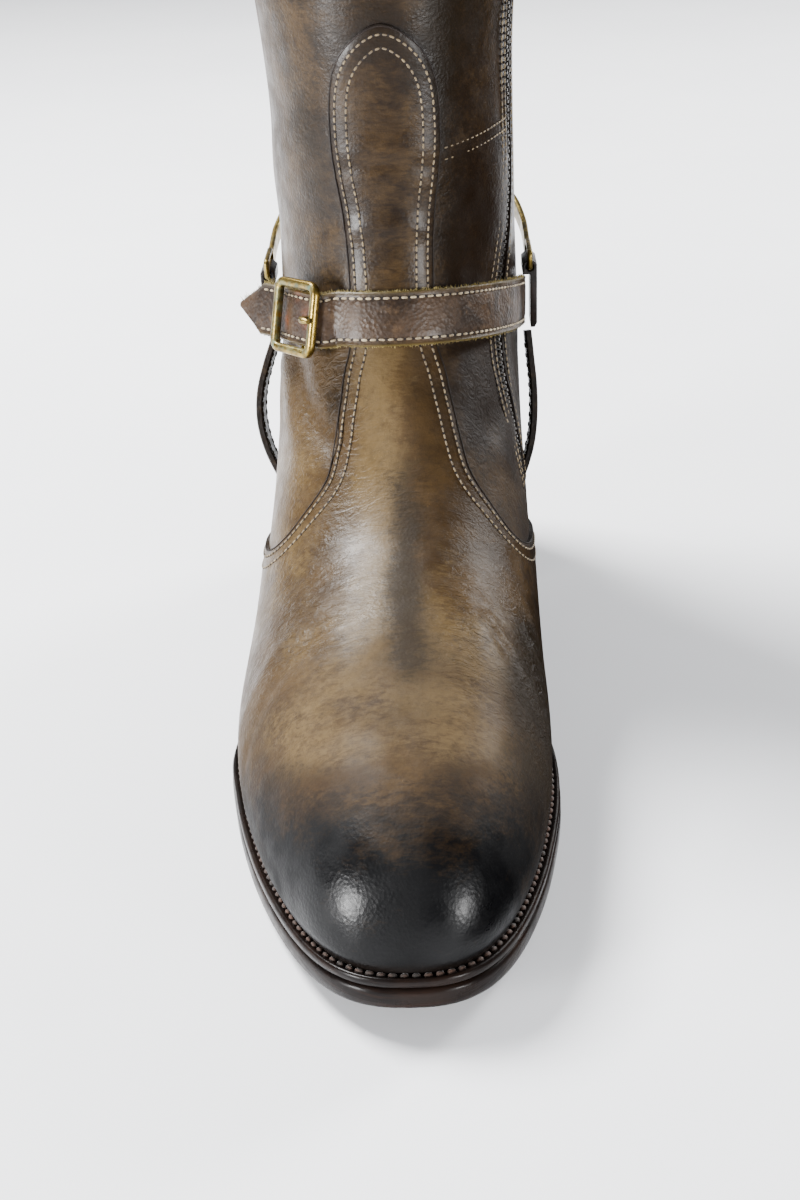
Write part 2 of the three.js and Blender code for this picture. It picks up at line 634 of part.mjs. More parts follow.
// Frames along a smooth line through points that each carry a width direction and a half-width
function framesThrough(stops, steps) {
  const line = new THREE.CatmullRomCurve3(stops.map((s) => s.at), false, 'centripetal');
  return Array.from({ length: steps + 1 }, (_, i) => {
    const t = i / steps;
    const k = Math.min(Math.floor(t * (stops.length - 1)), stops.length - 2);
    const f = t * (stops.length - 1) - k;
    const tangent = line.getTangent(t);
    const across = stops[k].across.clone().lerp(stops[k + 1].across, f);
    across.addScaledVector(tangent, -across.dot(tangent)).normalize();
    const normal = new THREE.Vector3().crossVectors(across, tangent).normalize();
    const half = stops[k].half + (stops[k + 1].half - stops[k].half) * f;
    return { centre: line.getPoint(t), normal, across, half };
  });
}

// Where the strap lies on the ankle at a turn from the front, lifted off the leather
const strapHeight = (y) => STRAP_HEIGHT + STRAP_SLOPE * Math.min(STRAP_SLOPE_FROM - y, 20);
function strapStop(turn, lift, half) {
  let z = STRAP_HEIGHT;
  for (let i = 0; i < 4; i += 1) z = strapHeight(wallPoint(turn, z).y);
  const low = wallPoint(turn, z - half);
  const high = wallPoint(turn, z + half);
  const middle = wallPoint(turn, z);
  const across = high.clone().sub(low).normalize();
  const around = wallPoint(turn + 2, z).sub(wallPoint(turn - 2, z)).normalize();
  const normal = new THREE.Vector3().crossVectors(around, across).normalize();
  const bulge = Math.max(middle.clone().sub(low).dot(normal), 0);
  const at = low.add(high).multiplyScalar(0.5).addScaledVector(normal, bulge + lift);
  return { at, across, half, normal, around };
}

const STRAP_STANDOFF = 2 * GAP;
const tongueLift = (turn) => VAMP_RISE * (1 - smoothstep(Math.abs(turn), 22, 34));

// Place of the buckle: its origin is on the strap's middle line over the centre bar
const BILLET_LIFT = 2 * GAP + BILLET_THICKNESS / 2;
const CENTRE_BAR_LIFT = BILLET_LIFT + BILLET_THICKNESS / 2 + GAP + CENTRE_BAR / 2;
const STRAP_OVER_BAR = CENTRE_BAR_LIFT + CENTRE_BAR / 2 + GAP + STRAP_THICKNESS / 2;
const buckleSpot = strapStop(BUCKLE_AZIMUTH, 0, STRAP_WIDTH / 2);
const buckleAxes = (() => {
  const down = buckleSpot.across.clone().negate();
  const back = buckleSpot.around.clone().negate();
  const along = back.addScaledVector(down, -back.dot(down)).normalize();
  return { along, down, out: new THREE.Vector3().crossVectors(along, down) };
})();
const buckleMatrix = new THREE.Matrix4()
  .makeBasis(buckleAxes.along, buckleAxes.down, buckleAxes.out)
  .setPosition(buckleSpot.at);
const onBuckle = (along, out) => new THREE.Vector3(along, 0, out).applyMatrix4(buckleMatrix);
const END_BAR = BUCKLE_LENGTH / 2 - BUCKLE_BAR / 2;
const STRAP_UNDER_BAR = BILLET_LIFT + BILLET_THICKNESS / 2 + 2 * GAP + STRAP_THICKNESS / 2;
const FRAME_LIFT = STRAP_UNDER_BAR + STRAP_THICKNESS / 2 + 3 * GAP + BUCKLE_BAR / 2;

function frontStrap() {
  const half = STRAP_WIDTH / 2;
  const lift = (turn) => STRAP_STANDOFF + STRAP_THICKNESS / 2 + tongueLift(turn);
  const turns = [TAB_TURN, 84, 70, 56, 42, 28, 14, 0, -10, -19];
  const stops = turns.map((turn) => strapStop(turn, lift(turn), half));
  const { across } = buckleSpot;
  const onStop = (along, out, width) => ({ at: onBuckle(along, out), across, half: width });
  stops.push(
    onStop(-END_BAR, STRAP_UNDER_BAR, half),
    onStop(0, STRAP_OVER_BAR, half),
    onStop(END_BAR, STRAP_UNDER_BAR, half),
    onStop(END_BAR + STRAP_TAIL * 0.35, STRAP_UNDER_BAR, half),
    onStop(END_BAR + STRAP_TAIL * 0.55, STRAP_UNDER_BAR + 0.5, half),
    onStop(END_BAR + STRAP_TAIL, STRAP_UNDER_BAR + 2, half * 0.12),
  );
  const strap = bandSolid(framesThrough(stops, 46), STRAP_THICKNESS);
  const hole = new THREE.CylinderGeometry(PRONG / 2 + 4 * GAP, PRONG / 2 + 4 * GAP, 14, 12);
  hole.rotateX(Math.PI / 2);
  hole.translate(PRONG_HOLE, 0, STRAP_UNDER_BAR + 1);
  hole.applyMatrix4(buckleMatrix);
  return cut(strap, hole);
}

const TAB_TURN = 96;
const PRONG_HOLE = -END_BAR * 0.55;

// Lateral strap under the buckle, from its centre bar back to the outside tab
function billet() {
  const half = STRAP_WIDTH / 2 - 1;
  const turns = [-TAB_TURN, -84, -72, -60, -50, -43];
  const stops = turns.map((turn) => strapStop(turn, BILLET_LIFT, half)).reverse();
  stops.unshift({ at: onBuckle(-2, BILLET_LIFT + GAP / 2), across: buckleSpot.across, half });
  return bandSolid(framesThrough(stops, 22), BILLET_THICKNESS);
}

function buckleFrame() {
  const height = STRAP_WIDTH + 2 * BUCKLE_BAR + 1.2;
  const corner = 2.4;
  const rounded = (w, h, r) => {
    const shape = new THREE.Shape();
    shape.moveTo(-w / 2 + r, -h / 2);
    shape.lineTo(w / 2 - r, -h / 2);
    shape.absarc(w / 2 - r, -h / 2 + r, r, -Math.PI / 2, 0);
    shape.lineTo(w / 2, h / 2 - r);
    shape.absarc(w / 2 - r, h / 2 - r, r, 0, Math.PI / 2);
    shape.lineTo(-w / 2 + r, h / 2);
    shape.absarc(-w / 2 + r, h / 2 - r, r, Math.PI / 2, Math.PI);
    shape.lineTo(-w / 2, -h / 2 + r);
    shape.absarc(-w / 2 + r, -h / 2 + r, r, Math.PI, 1.5 * Math.PI);
    return shape;
  };
  const bevel = 0.7;
  const ring = rounded(BUCKLE_LENGTH - 2 * bevel, height - 2 * bevel, corner);
  const window = 2 * BUCKLE_BAR - 2 * bevel;
  const inner = rounded(BUCKLE_LENGTH - window, height - window, corner / 2);
  ring.holes.push(inner);
  const body = new THREE.ExtrudeGeometry(ring, {
    depth: BUCKLE_BAR - 2 * bevel,
    bevelThickness: bevel,
    bevelSize: bevel,
    bevelSegments: 1,
    curveSegments: 3,
  });
  body.translate(0, 0, FRAME_LIFT - BUCKLE_BAR / 2 + bevel);
  const legAt = height / 2 - BUCKLE_BAR / 2;
  const bar = new THREE.BoxGeometry(CENTRE_BAR, 2 * legAt + CENTRE_BAR, CENTRE_BAR);
  bar.translate(0, 0, CENTRE_BAR_LIFT);
  const legs = [-legAt, legAt].map((y) => {
    const leg = new THREE.BoxGeometry(CENTRE_BAR, CENTRE_BAR, FRAME_LIFT - CENTRE_BAR_LIFT + CENTRE_BAR / 2);
    leg.translate(0, y, (FRAME_LIFT + CENTRE_BAR_LIFT - CENTRE_BAR / 2) / 2);
    return leg;
  });
  return join(body, bar, ...legs).applyMatrix4(buckleMatrix);
}

// The prong rises from beside the centre bar through the strap's hole and rests over the end bar
function buckleProng() {
  const rest = FRAME_LIFT + BUCKLE_BAR / 2 + GAP + PRONG / 2;
  const line = new THREE.CatmullRomCurve3([
    new THREE.Vector3(PRONG_HOLE + 0.9, 0, BILLET_LIFT + BILLET_THICKNESS / 2 + GAP + PRONG / 2),
    new THREE.Vector3(PRONG_HOLE + 0.3, 0, STRAP_UNDER_BAR + 0.6),
    new THREE.Vector3(PRONG_HOLE - 0.5, 0, rest - 1.6),
    new THREE.Vector3(-END_BAR + 1.2, 0, rest),
    new THREE.Vector3(-END_BAR - 1.6, 0, rest),
  ], false, 'centripetal');
  const round = new THREE.Shape(new THREE.EllipseCurve(0, 0, PRONG / 2, PRONG / 2).getPoints(8).slice(0, 8));
  const prong = new THREE.ExtrudeGeometry(round, { steps: 12, extrudePath: line, bevelEnabled: false });
  return prong.applyMatrix4(buckleMatrix);
}

// Where the harness hangs at each side of the ankle
function tabPlace(side) {
  const z = strapHeight(TAB_Y);
  const face = Math.max(...[-1, 0, 1].flatMap((i) => [-1, 0, 1].map((j) =>
    sideHalf(side, TAB_Y + (i * TAB_WIDTH) / 2, z + (j * STRAP_WIDTH) / 2))));
  return { face, z };
}
const TAB_PLACES = { [INSIDE]: tabPlace(INSIDE), [OUTSIDE]: tabPlace(OUTSIDE) };
const LOOP_BAR = 1.8;
const tabOuter = () => STRAP_STANDOFF + STRAP_THICKNESS + 2 * GAP + TAB_THICKNESS;
const SHELF_UP = STRAP_WIDTH / 2 + 2 * GAP + STRAP_SLOPE * (TAB_WIDTH / 2);
const loopX = (side) => side * (TAB_PLACES[side].face + tabOuter() - 1.2 - GAP - LOOP_BAR / 2);
const loopZ = (side) => TAB_PLACES[side].z + SHELF_UP + 1.2 + GAP + LOOP_BAR / 2;

// Leather tab: a plate over the strap's end, with a loop at its top round the heel band's bar
function sideTab(side) {
  const { face, z } = TAB_PLACES[side];
  const outer = face + tabOuter();
  const shelf = z + SHELF_UP;
  const top = shelf + LOOP_BAR + 2 * GAP + 2.4;
  const bottom = top - TAB_HEIGHT - 2;
  const shape = new THREE.Shape();
  shape.moveTo(outer - TAB_THICKNESS, bottom);
  shape.lineTo(outer - 0.8, bottom);
  shape.lineTo(outer, bottom + 1.5);
  shape.lineTo(outer, top - 1.4);
  shape.lineTo(outer - 1.4, top);
  shape.lineTo(outer - 3.2, top);
  shape.lineTo(outer - 2.4 - 2 * GAP - LOOP_BAR, top - 1.4);
  shape.lineTo(outer - 2.4 - 2 * GAP - LOOP_BAR, shelf);
  shape.lineTo(outer - TAB_THICKNESS, shelf);
  const hole = new THREE.Path();
  hole.absarc(Math.abs(loopX(side)), loopZ(side), LOOP_BAR / 2 + 1.5 * GAP, 0, 2 * Math.PI, true);
  shape.holes.push(hole);
  const sweep = { depth: TAB_WIDTH, bevelEnabled: false, curveSegments: 10 };
  const plate = new THREE.ExtrudeGeometry(shape, sweep);
  plate.rotateX(Math.PI / 2);
  plate.translate(0, TAB_Y + TAB_WIDTH / 2, 0);
  if (side === OUTSIDE) plate.rotateZ(Math.PI).translate(0, 2 * TAB_Y, 0);
  return plate;
}

// Brass heel band: a flat strip round the back of the ankle with a loop for a tab at each end
function heelBand() {
  const startY = TAB_Y + TAB_WIDTH / 2 + 2;
  const end = (side) => new THREE.Vector3(loopX(side), startY, loopZ(side) + 1.6);
  const backY = SOLE_BACK - HEEL_LEDGE + climbToBack(loopZ(INSIDE) + BAND_RISE - SEAT) + BAND_BACK_CLEARANCE;
  const reach = backY - startY;
  const across = new THREE.Vector3(0, 0, 1);
  const stops = [];
  for (let k = 0; k <= 10; k += 1) {
    const angle = (Math.PI * k) / 10;
    const side = angle < Math.PI / 2 ? INSIDE : OUTSIDE;
    const spread = Math.abs(Math.cos(angle)) ** 0.8;
    const out = Math.sin(angle) ** 0.9;
    const bow = 2.5 * Math.sin(2 * angle) ** 2;
    const p = new THREE.Vector3(
      end(side).x * spread + side * bow, startY + reach * out, end(side).z + BAND_RISE * out ** 1.2);
    stops.push({ at: p, across, half: BAND_HEIGHT / 2 });
  }
  const band = bandSolid(framesThrough(stops, 34), BAND_THICKNESS);
  const loops = [INSIDE, OUTSIDE].map((side) => bandLoop(side, startY));
  return join(band, ...loops);
}

function bandLoop(side, startY) {
  const length = TAB_WIDTH + 2 * GAP + 2 * BAND_THICKNESS;
  const rise = 5.2;
  const box = (deep, y, up, tall) =>
    new THREE.BoxGeometry(LOOP_BAR, deep, tall).translate(loopX(side), y, loopZ(side) + up);
  const bar = new THREE.CylinderGeometry(LOOP_BAR / 2, LOOP_BAR / 2, length, 10);
  const frontY = startY - length + BAND_THICKNESS / 2 + 0.4;
  const middle = (startY + frontY) / 2;
  const span = startY - frontY;
  return join(
    bar.translate(loopX(side), middle, loopZ(side)),
    box(span, middle, rise, LOOP_BAR),
    box(BAND_THICKNESS, frontY, rise / 2, rise + LOOP_BAR),
    box(BAND_THICKNESS, startY, rise / 2, rise + LOOP_BAR),
  );
}

// Strap from tab to tab under the waist of the sole, in front of the heel
const upperSeat = (y) => undersideHeight(y) + FEATHER_UP;
function underStrap() {
  const half = UNDER_STRAP_WIDTH / 2;
  const lift = UNDER_STRAP_THICKNESS / 2 + GAP;
  const yTop = TAB_Y;
  const yLow = -HEEL_LENGTH / 2 - half - 3;
  const [zFore, zAft] = [undersideHeight(yLow - half), undersideHeight(yLow + half)];
  const zUnder = (zFore + zAft) / 2;
  const flat = new THREE.Vector3(0, 2 * half, zAft - zFore).normalize();
  const edge = (side) => Math.max(...[-half, 0, half].map((d) =>
    outline((yLow + d - SOLE_TIP) / OUTSOLE_LENGTH, side, 0, 0).half));
  const wallStops = (side) => {
    const top = TAB_PLACES[side].z - SHELF_UP - 3 * GAP;
    const bottom = upperSeat(yLow);
    return [0, 0.14, 0.3, 0.46, 0.62, 0.78, 0.9].map((t) => {
      const z = top + (bottom - top) * t;
      const y = yTop + (yLow - yTop) * t;
      const faces = [-half, 0, half].map((d) => 
        sideHalf(side, y + d, Math.max(z, upperSeat(y + d) + 1), VAMP_RISE) ?? 0);
      const sway = UNDER_STRAP_SWAY * Math.sin(Math.PI * Math.min(t * 1.15, 1));
      const x = Math.max(...faces, edge(side)) + lift + 0.2 + sway;
      const across = new THREE.Vector3(0, top - bottom, yTop - yLow).normalize();
      return { at: new THREE.Vector3(side * x, y, z), across, half };
    });
  };
  const roundEdge = [[2, SOLE_TOP - 2], [1.6, 2.5], [1.5, 0.3], [0.8, -1], [-1, -1.1]];
  const edgeStops = (side) => roundEdge.map(([out, up]) => {
    const z = zUnder + (up > 0 ? up : up * lift);
    const at = new THREE.Vector3(side * (edge(side) + out * lift), yLow, z);
    return { at, across: flat, half };
  });
  const under = (side) => [0.7, 0.35].map((share) =>
    ({ at: new THREE.Vector3(side * edge(side) * share, yLow, zUnder - 1.2 * lift), across: flat, half }));
  const stops = [
    ...wallStops(INSIDE), ...edgeStops(INSIDE), ...under(INSIDE),
    ...under(OUTSIDE).reverse(), ...edgeStops(OUTSIDE).reverse(), ...wallStops(OUTSIDE).reverse(),
  ];
  return bandSolid(framesThrough(stops, Math.round(1.6 * stops.length)), UNDER_STRAP_THICKNESS);
}

// Zip slider at the collar and its pull tab, hanging from a pin
const SLIDER_TOP = BOOT_HEIGHT - 6;
const sliderPlace = (() => {
  const y = curveY(ZIP_LINE, (SLIDER_TOP - SLIDER_LENGTH / 2 - SEAT) / SHAFT_RISE);
  const z = SLIDER_TOP - SLIDER_LENGTH / 2;
  const low = new THREE.Vector3(sideHalf(INSIDE, y, z - 8), y, z - 8);
  const high = new THREE.Vector3(sideHalf(INSIDE, y, z + 3), y, z + 3);
  const before = new THREE.Vector3(sideHalf(INSIDE, y - 3, z), y - 3, z);
  const after = new THREE.Vector3(sideHalf(INSIDE, y + 3, z), y + 3, z);
  const up = high.sub(low).normalize();
  const along = after.sub(before).normalize();
  const out = new THREE.Vector3().crossVectors(along, up).normalize();
  const across = new THREE.Vector3().crossVectors(up, out).normalize();
  return { matrix: new THREE.Matrix4().makeBasis(across, up, out).setPosition(sideHalf(INSIDE, y, z), y, z) };
})();

function curveY(line, rise) {
  return spline(line.rise, line.back, rise) * OUTSOLE_LENGTH;
}

const EYE_RADIUS = 1.9;
const PIN_LIFT = SLIDER_THICKNESS + EYE_RADIUS + 2.5 * GAP;
const PIN_UP = SLIDER_LENGTH / 2 - 2.4;
function zipSlider() {
  const body = new THREE.BoxGeometry(SLIDER_WIDTH, SLIDER_LENGTH, SLIDER_THICKNESS);
  body.translate(0, 0, GAP + SLIDER_THICKNESS / 2);
  const lugAt = PULL_WIDTH / 2 - 0.4;
  const lugs = [-lugAt, lugAt].map((x) => {
    const lug = new THREE.BoxGeometry(1.1, 3.6, PIN_LIFT + 1.1 - GAP);
    return lug.translate(x, PIN_UP, GAP + (PIN_LIFT + 1.1 - GAP) / 2);
  });
  const pin = new THREE.CylinderGeometry(PULL_PIN / 2, PULL_PIN / 2, 2 * lugAt, 10);
  pin.rotateZ(Math.PI / 2).translate(0, PIN_UP, PIN_LIFT);
  return join(body, ...lugs, pin).applyMatrix4(sliderPlace.matrix);
}

function zipPull() {
  const neck = PULL_WIDTH - 0.8 - 1.1 - 2 * GAP;
  const outlineShape = new THREE.Shape();
  const eye = new THREE.CylinderGeometry(EYE_RADIUS, EYE_RADIUS, neck, 14);
  eye.rotateZ(Math.PI / 2).translate(0, PIN_UP, PIN_LIFT);
  const [halfNeck, halfPull] = [neck / 2, PULL_WIDTH / 2];
  outlineShape.moveTo(-halfNeck, 0);
  outlineShape.lineTo(halfNeck, 0);
  outlineShape.lineTo(halfNeck, -4.2);
  outlineShape.lineTo(halfPull, -6.4);
  outlineShape.lineTo(halfPull, -PULL_LENGTH + 2);
  outlineShape.lineTo(halfPull - 2, -PULL_LENGTH);
  outlineShape.lineTo(2 - halfPull, -PULL_LENGTH);
  outlineShape.lineTo(-halfPull, -PULL_LENGTH + 2);
  outlineShape.lineTo(-halfPull, -6.4);
  outlineShape.lineTo(-halfNeck, -4.2);
  const blade = new THREE.ExtrudeGeometry(outlineShape, { depth: PULL_THICKNESS, bevelEnabled: false });
  blade.translate(0, PIN_UP, PIN_LIFT - PULL_THICKNESS / 2);
  const bore = new THREE.CylinderGeometry(PULL_PIN / 2 + GAP, PULL_PIN / 2 + GAP, neck + 2, 14);
  bore.rotateZ(Math.PI / 2).translate(0, PIN_UP, PIN_LIFT);
  return cut(join(eye, blade), bore).applyMatrix4(sliderPlace.matrix);
}

// Materials
const material = (color, roughness, metalness = 0) =>
  new THREE.MeshStandardMaterial({ color, roughness, metalness });
const upperLeather = material(0x8c6e4c, 0.4);
const strapLeather = material(0x957c66, 0.5);
const darkLeather = material(0x2e2620, 0.45);
const soleLeather = material(0x4b3e3a, 0.35);
const heelLeather = material(0x45352c, 0.4);
const rubber = material(0x1f1d1c, 0.7);
const insoleLeather = material(0xa88a63, 0.7);
const brass = material(0x9c8a4c, 0.35, 1);
const tapeCloth = material(0x17171a, 0.9);
const zipMetal = material(0x3a3733, 0.4, 1);

const pieces = [
  ['outsole', outsole(), soleLeather],
  ['welt', welt(), soleLeather],
  ['heel_stack', heelSolid(HEEL_LIFT_HEIGHT + GAP, HEEL_HEIGHT - GAP), heelLeather],
  ['heel_lift', heelSolid(0, HEEL_LIFT_HEIGHT), rubber],
  ['insole', insole(), insoleLeather],
  ['upper', upper(), upperLeather],
  ['zip_chain', zipChain(), zipMetal],
  ['zip_tape', zipTape(), tapeCloth],
  ['zip_slider', zipSlider(), zipMetal],
  ['zip_pull', zipPull(), zipMetal],
  ['front_strap', frontStrap(), strapLeather],
  ['buckle_strap', billet(), strapLeather],
  ['buckle_frame', buckleFrame(), brass],
  ['buckle_prong', buckleProng(), brass],
  ['inside_tab', sideTab(INSIDE), darkLeather],
  ['outside_tab', sideTab(OUTSIDE), darkLeather],
  ['heel_band', heelBand(), brass],
  ['under_strap', underStrap(), strapLeather],
];

const boot = new THREE.Group();
boot.name = 'harness_boot';
for (const [name, geometry, look] of pieces) {
  const mesh = new THREE.Mesh(geometry, look);
  mesh.name = name;
  boot.add(mesh);
}

export default boot;
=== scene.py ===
import math

import bpy
import bmesh
import numpy as np
from mathutils import Matrix, Vector
from mathutils.bvhtree import BVHTree
from mathutils.kdtree import KDTree


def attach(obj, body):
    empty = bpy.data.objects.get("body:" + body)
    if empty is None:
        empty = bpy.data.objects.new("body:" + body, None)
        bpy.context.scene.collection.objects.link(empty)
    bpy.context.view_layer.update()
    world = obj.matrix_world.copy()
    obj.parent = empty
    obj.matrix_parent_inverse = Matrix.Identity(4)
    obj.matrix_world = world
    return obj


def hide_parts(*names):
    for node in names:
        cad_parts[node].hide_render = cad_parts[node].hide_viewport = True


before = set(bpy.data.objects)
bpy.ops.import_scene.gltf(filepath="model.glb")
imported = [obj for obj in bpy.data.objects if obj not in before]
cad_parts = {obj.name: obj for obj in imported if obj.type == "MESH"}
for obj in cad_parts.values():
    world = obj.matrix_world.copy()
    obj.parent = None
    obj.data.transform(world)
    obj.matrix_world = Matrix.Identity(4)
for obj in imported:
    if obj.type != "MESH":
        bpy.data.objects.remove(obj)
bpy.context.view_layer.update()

# Right harness boot. Millimetres in the functions, metres in the meshes. +Z up, toe to -Y, inside at +X.
MM = 0.001
BODY, PULL = "boot", "pull"

# Sizes, as in the part's source
OUTSOLE_LENGTH, BALL_WIDTH, BOOT_HEIGHT, INSTEP_HEIGHT = 290.0, 97.0, 320.0, 70.0
HEEL_LENGTH, HEEL_HEIGHT, HEEL_LIFT = 62.0, 30.0, 6.0
HEEL_BACK_RAKE, HEEL_SIDE_RAKE, TOE_SPRING = 6.0, 3.0, 8.0
OUTSOLE_THICKNESS, WELT_THICKNESS, WELT_LEDGE, HEEL_LEDGE = 6.5, 3.0, 4.5, 2.5
UPPER_WALL, VAMP_RISE, GAP = 2.4, 1.3, 0.3
STRAP_WIDTH, STRAP_THICKNESS, STRAP_HEIGHT = 16.0, 2.6, 120.5
STRAP_SLOPE, STRAP_SLOPE_FROM, STRAP_TAIL, BILLET_THICKNESS = 0.26, -70.0, 22.0, 2.0
BUCKLE_AZIMUTH, BUCKLE_LENGTH, BUCKLE_BAR, CENTRE_BAR, PRONG = -30.0, 22.0, 2.8, 1.8, 2.2
TAB_Y, TAB_WIDTH, TAB_THICKNESS, LOOP_BAR, TAB_TURN = -22.0, 12.0, 2.2, 1.8, 96.0
BAND_HEIGHT, BAND_THICKNESS, BAND_RISE, BAND_BACK_CLEARANCE = 6.0, 2.0, 14.0, 15.0
UNDER_STRAP_WIDTH, UNDER_STRAP_THICKNESS, UNDER_STRAP_SWAY = 15.0, 2.2, 5.0
ZIP_SLOT = 3.1

SOLE_BACK = HEEL_LENGTH / 2 + HEEL_BACK_RAKE
SOLE_TIP = SOLE_BACK - OUTSOLE_LENGTH
SOLE_TOP = OUTSOLE_THICKNESS + WELT_THICKNESS
FEATHER_UP = SOLE_TOP + 2 * GAP
SEAT = HEEL_HEIGHT + FEATHER_UP
SHAFT_RISE = BOOT_HEIGHT - SEAT

OUTLINE_RUN = [0, 0.10, 0.20, 0.30, 0.38, 0.50, 0.62, 0.75, 0.88, 1]
OUTLINE_HALF = {
    1: [0.385, 0.395, 0.417, 0.438, 0.430, 0.368, 0.310, 0.305, 0.336, 0.345],
    -1: [0.400, 0.438, 0.490, 0.540, 0.568, 0.520, 0.440, 0.375, 0.352, 0.345],
}
TOE_ROUND, HEEL_ROUND, TOE_BOX_ROUND = (0.39, 2.6), (0.13, 2.1), (0.20, 2.2)
SPRING_FROM, WAIST_FROM, WAIST_TO = 0.27, 0.40, 0.76
COLUMNS = ["run", "climb", "reach", "height", "inside", "outside", "widest", "top", "low", "ridge"]
ROWS = np.array([
    [0.00, 0.000, 0.000, 0.586, 0.371, 0.407, 0.20, 2.10, 2.0, 0.020],
    [0.07, 0.000, 0.000, 0.600, 0.371, 0.423, 0.20, 2.10, 2.0, 0.020],
    [0.15, 0.000, 0.000, 0.643, 0.381, 0.456, 0.21, 2.10, 2.0, 0.020],
    [0.24, 0.000, 0.000, 0.714, 0.392, 0.495, 0.22, 2.05, 2.0, 0.020],
    [0.32, 0.000, 0.000, 0.800, 0.392, 0.515, 0.24, 2.00, 2.0, 0.020],
    [0.40, 0.000, 0.003, 0.900, 0.390, 0.510, 0.26, 1.95, 2.0, 0.015],
    [0.48, 0.000, 0.017, 1.000, 0.390, 0.487, 0.29, 1.90, 2.0, 0.005],
    [0.56, 0.000, 0.052, 1.057, 0.390, 0.466, 0.32, 1.85, 2.0, -0.005],
    [0.65, 0.000, 0.103, 1.086, 0.390, 0.445, 0.34, 1.85, 2.0, -0.015],
    [0.75, 0.000, 0.176, 1.180, 0.390, 0.435, 0.36, 1.85, 2.1, -0.022],
    [0.86, 0.000, 0.272, 1.336, 0.394, 0.439, 0.38, 1.90, 2.1, -0.026],
    [0.95, 0.000, 0.353, 1.464, 0.398, 0.433, 0.40, 1.95, 2.1, -0.028],
    [1.00, 0.000, 0.398, 1.550, 0.400, 0.426, 0.41, 2.00, 2.1, -0.030],
    [1.00, 0.064, 0.409, 1.379, 0.400, 0.418, 0.43, 2.00, 2.1, -0.030],
    [1.00, 0.143, 0.403, 1.164, 0.396, 0.406, 0.45, 2.05, 2.1, -0.030],
    [1.00, 0.228, 0.381, 0.936, 0.390, 0.398, 0.46, 2.10, 2.1, -0.030],
    [1.00, 0.321, 0.367, 0.693, 0.388, 0.404, 0.47, 2.10, 2.1, -0.030],
    [1.00, 0.421, 0.368, 0.443, 0.386, 0.400, 0.48, 2.10, 2.1, -0.030],
    [1.00, 0.535, 0.376, 0.193, 0.388, 0.412, 0.49, 2.10, 2.1, -0.030],
    [1.00, 0.677, 0.391, 0.014, 0.407, 0.447, 0.50, 2.10, 2.1, -0.020],
    [1.00, 0.838, 0.412, 0.000, 0.443, 0.474, 0.50, 2.10, 2.1, -0.010],
    [1.00, 1.000, 0.438, 0.000, 0.474, 0.495, 0.50, 2.10, 2.1, 0.000],
])
BACK_CLIMB = [0, 0.043, 0.086, 0.143, 0.207, 0.271, 0.339, 0.428, 0.535, 0.677, 0.838, 1]
BACK_OUT = [0, 0.010, 0.0135, 0.0085, -0.007, -0.020, -0.025, -0.022, -0.0155, -0.003, 0.011, 0.026]
TONGUE_RISE = [0.180, 0.215, 0.251, 0.323, 0.394, 0.465, 0.515, 0.549, 0.572, 0.586, 0.594, 0.597]
TONGUE_HALF = [0.145, 0.140, 0.130, 0.124, 0.131, 0.157, 0.159, 0.144, 0.110, 0.068, 0.030, 0.000]
SEAM_RUN = [0.545, 0.528, 0.510, 0.494, 0.483, 0.481, 0.490, 0.515, 0.565, 0.640, 0.710, 0.760]
SEAM_RISE = [0.250, 0.216, 0.187, 0.152, 0.118, 0.096, 0.078, 0.062, 0.052, 0.035, 0.012, -0.010]
ZIP_BACK = [-0.262, -0.250, -0.228, -0.195, -0.163, -0.145, -0.140, -0.135, -0.128]
ZIP_RISE = [0.090, 0.150, 0.205, 0.260, 0.310, 0.370, 0.560, 0.780, 1.020]
ANKLE_Y = -0.1 * OUTSOLE_LENGTH


def spline(xs, ys, x):
    xs, ys = np.asarray(xs, float), np.asarray(ys, float)
    x = np.clip(x, xs[0], xs[-1])
    i = np.clip(np.searchsorted(xs, x, side="right") - 1, 0, len(xs) - 2)
    m = np.empty(len(xs))
    m[1:-1] = (ys[2:] - ys[:-2]) / (xs[2:] - xs[:-2])
    m[0], m[-1] = (ys[1] - ys[0]) / (xs[1] - xs[0]), (ys[-1] - ys[-2]) / (xs[-1] - xs[-2])
    h = xs[i + 1] - xs[i]
    t = (x - xs[i]) / h
    return ((2 * t**3 - 3 * t**2 + 1) * ys[i] + (t**3 - 2 * t**2 + t) * h * m[i]
            + (3 * t**2 - 2 * t**3) * ys[i + 1] + (t**3 - t**2) * h * m[i + 1])


def smoothstep(x, a, b):
    t = np.clip((np.asarray(x, float) - a) / (b - a), 0, 1)
    return t * t * (3 - 2 * t)


def end_round(distance, shape):
    q = np.clip(1 - distance / shape[0], 0, 1)
    return (1 - q ** shape[1]) ** (1 / shape[1])


def underside(y):
    run = (y - SOLE_TIP) / OUTSOLE_LENGTH
    spring = np.maximum(SPRING_FROM - run, 0) / SPRING_FROM
    return TOE_SPRING * spring**2 + HEEL_HEIGHT * smoothstep(run, WAIST_FROM, WAIST_TO)


def outline(run, side, toe_inset, heel_inset):
    tip, back = SOLE_TIP + toe_inset, SOLE_BACK - heel_inset
    inset = toe_inset + (heel_inset - toe_inset) * smoothstep(run, 0.5, 0.8)
    plain = spline(OUTLINE_RUN, OUTLINE_HALF[side], run) * BALL_WIDTH - inset
    return tip + (back - tip) * run, plain * end_round(run, TOE_ROUND) * end_round(1 - run, HEEL_ROUND)


def feather(run, side, offset):
    return outline(run, side, WELT_LEDGE - offset, HEEL_LEDGE - offset)


def climb_back(climb):
    return OUTSOLE_LENGTH * spline(BACK_CLIMB, BACK_OUT, climb / SHAFT_RISE)


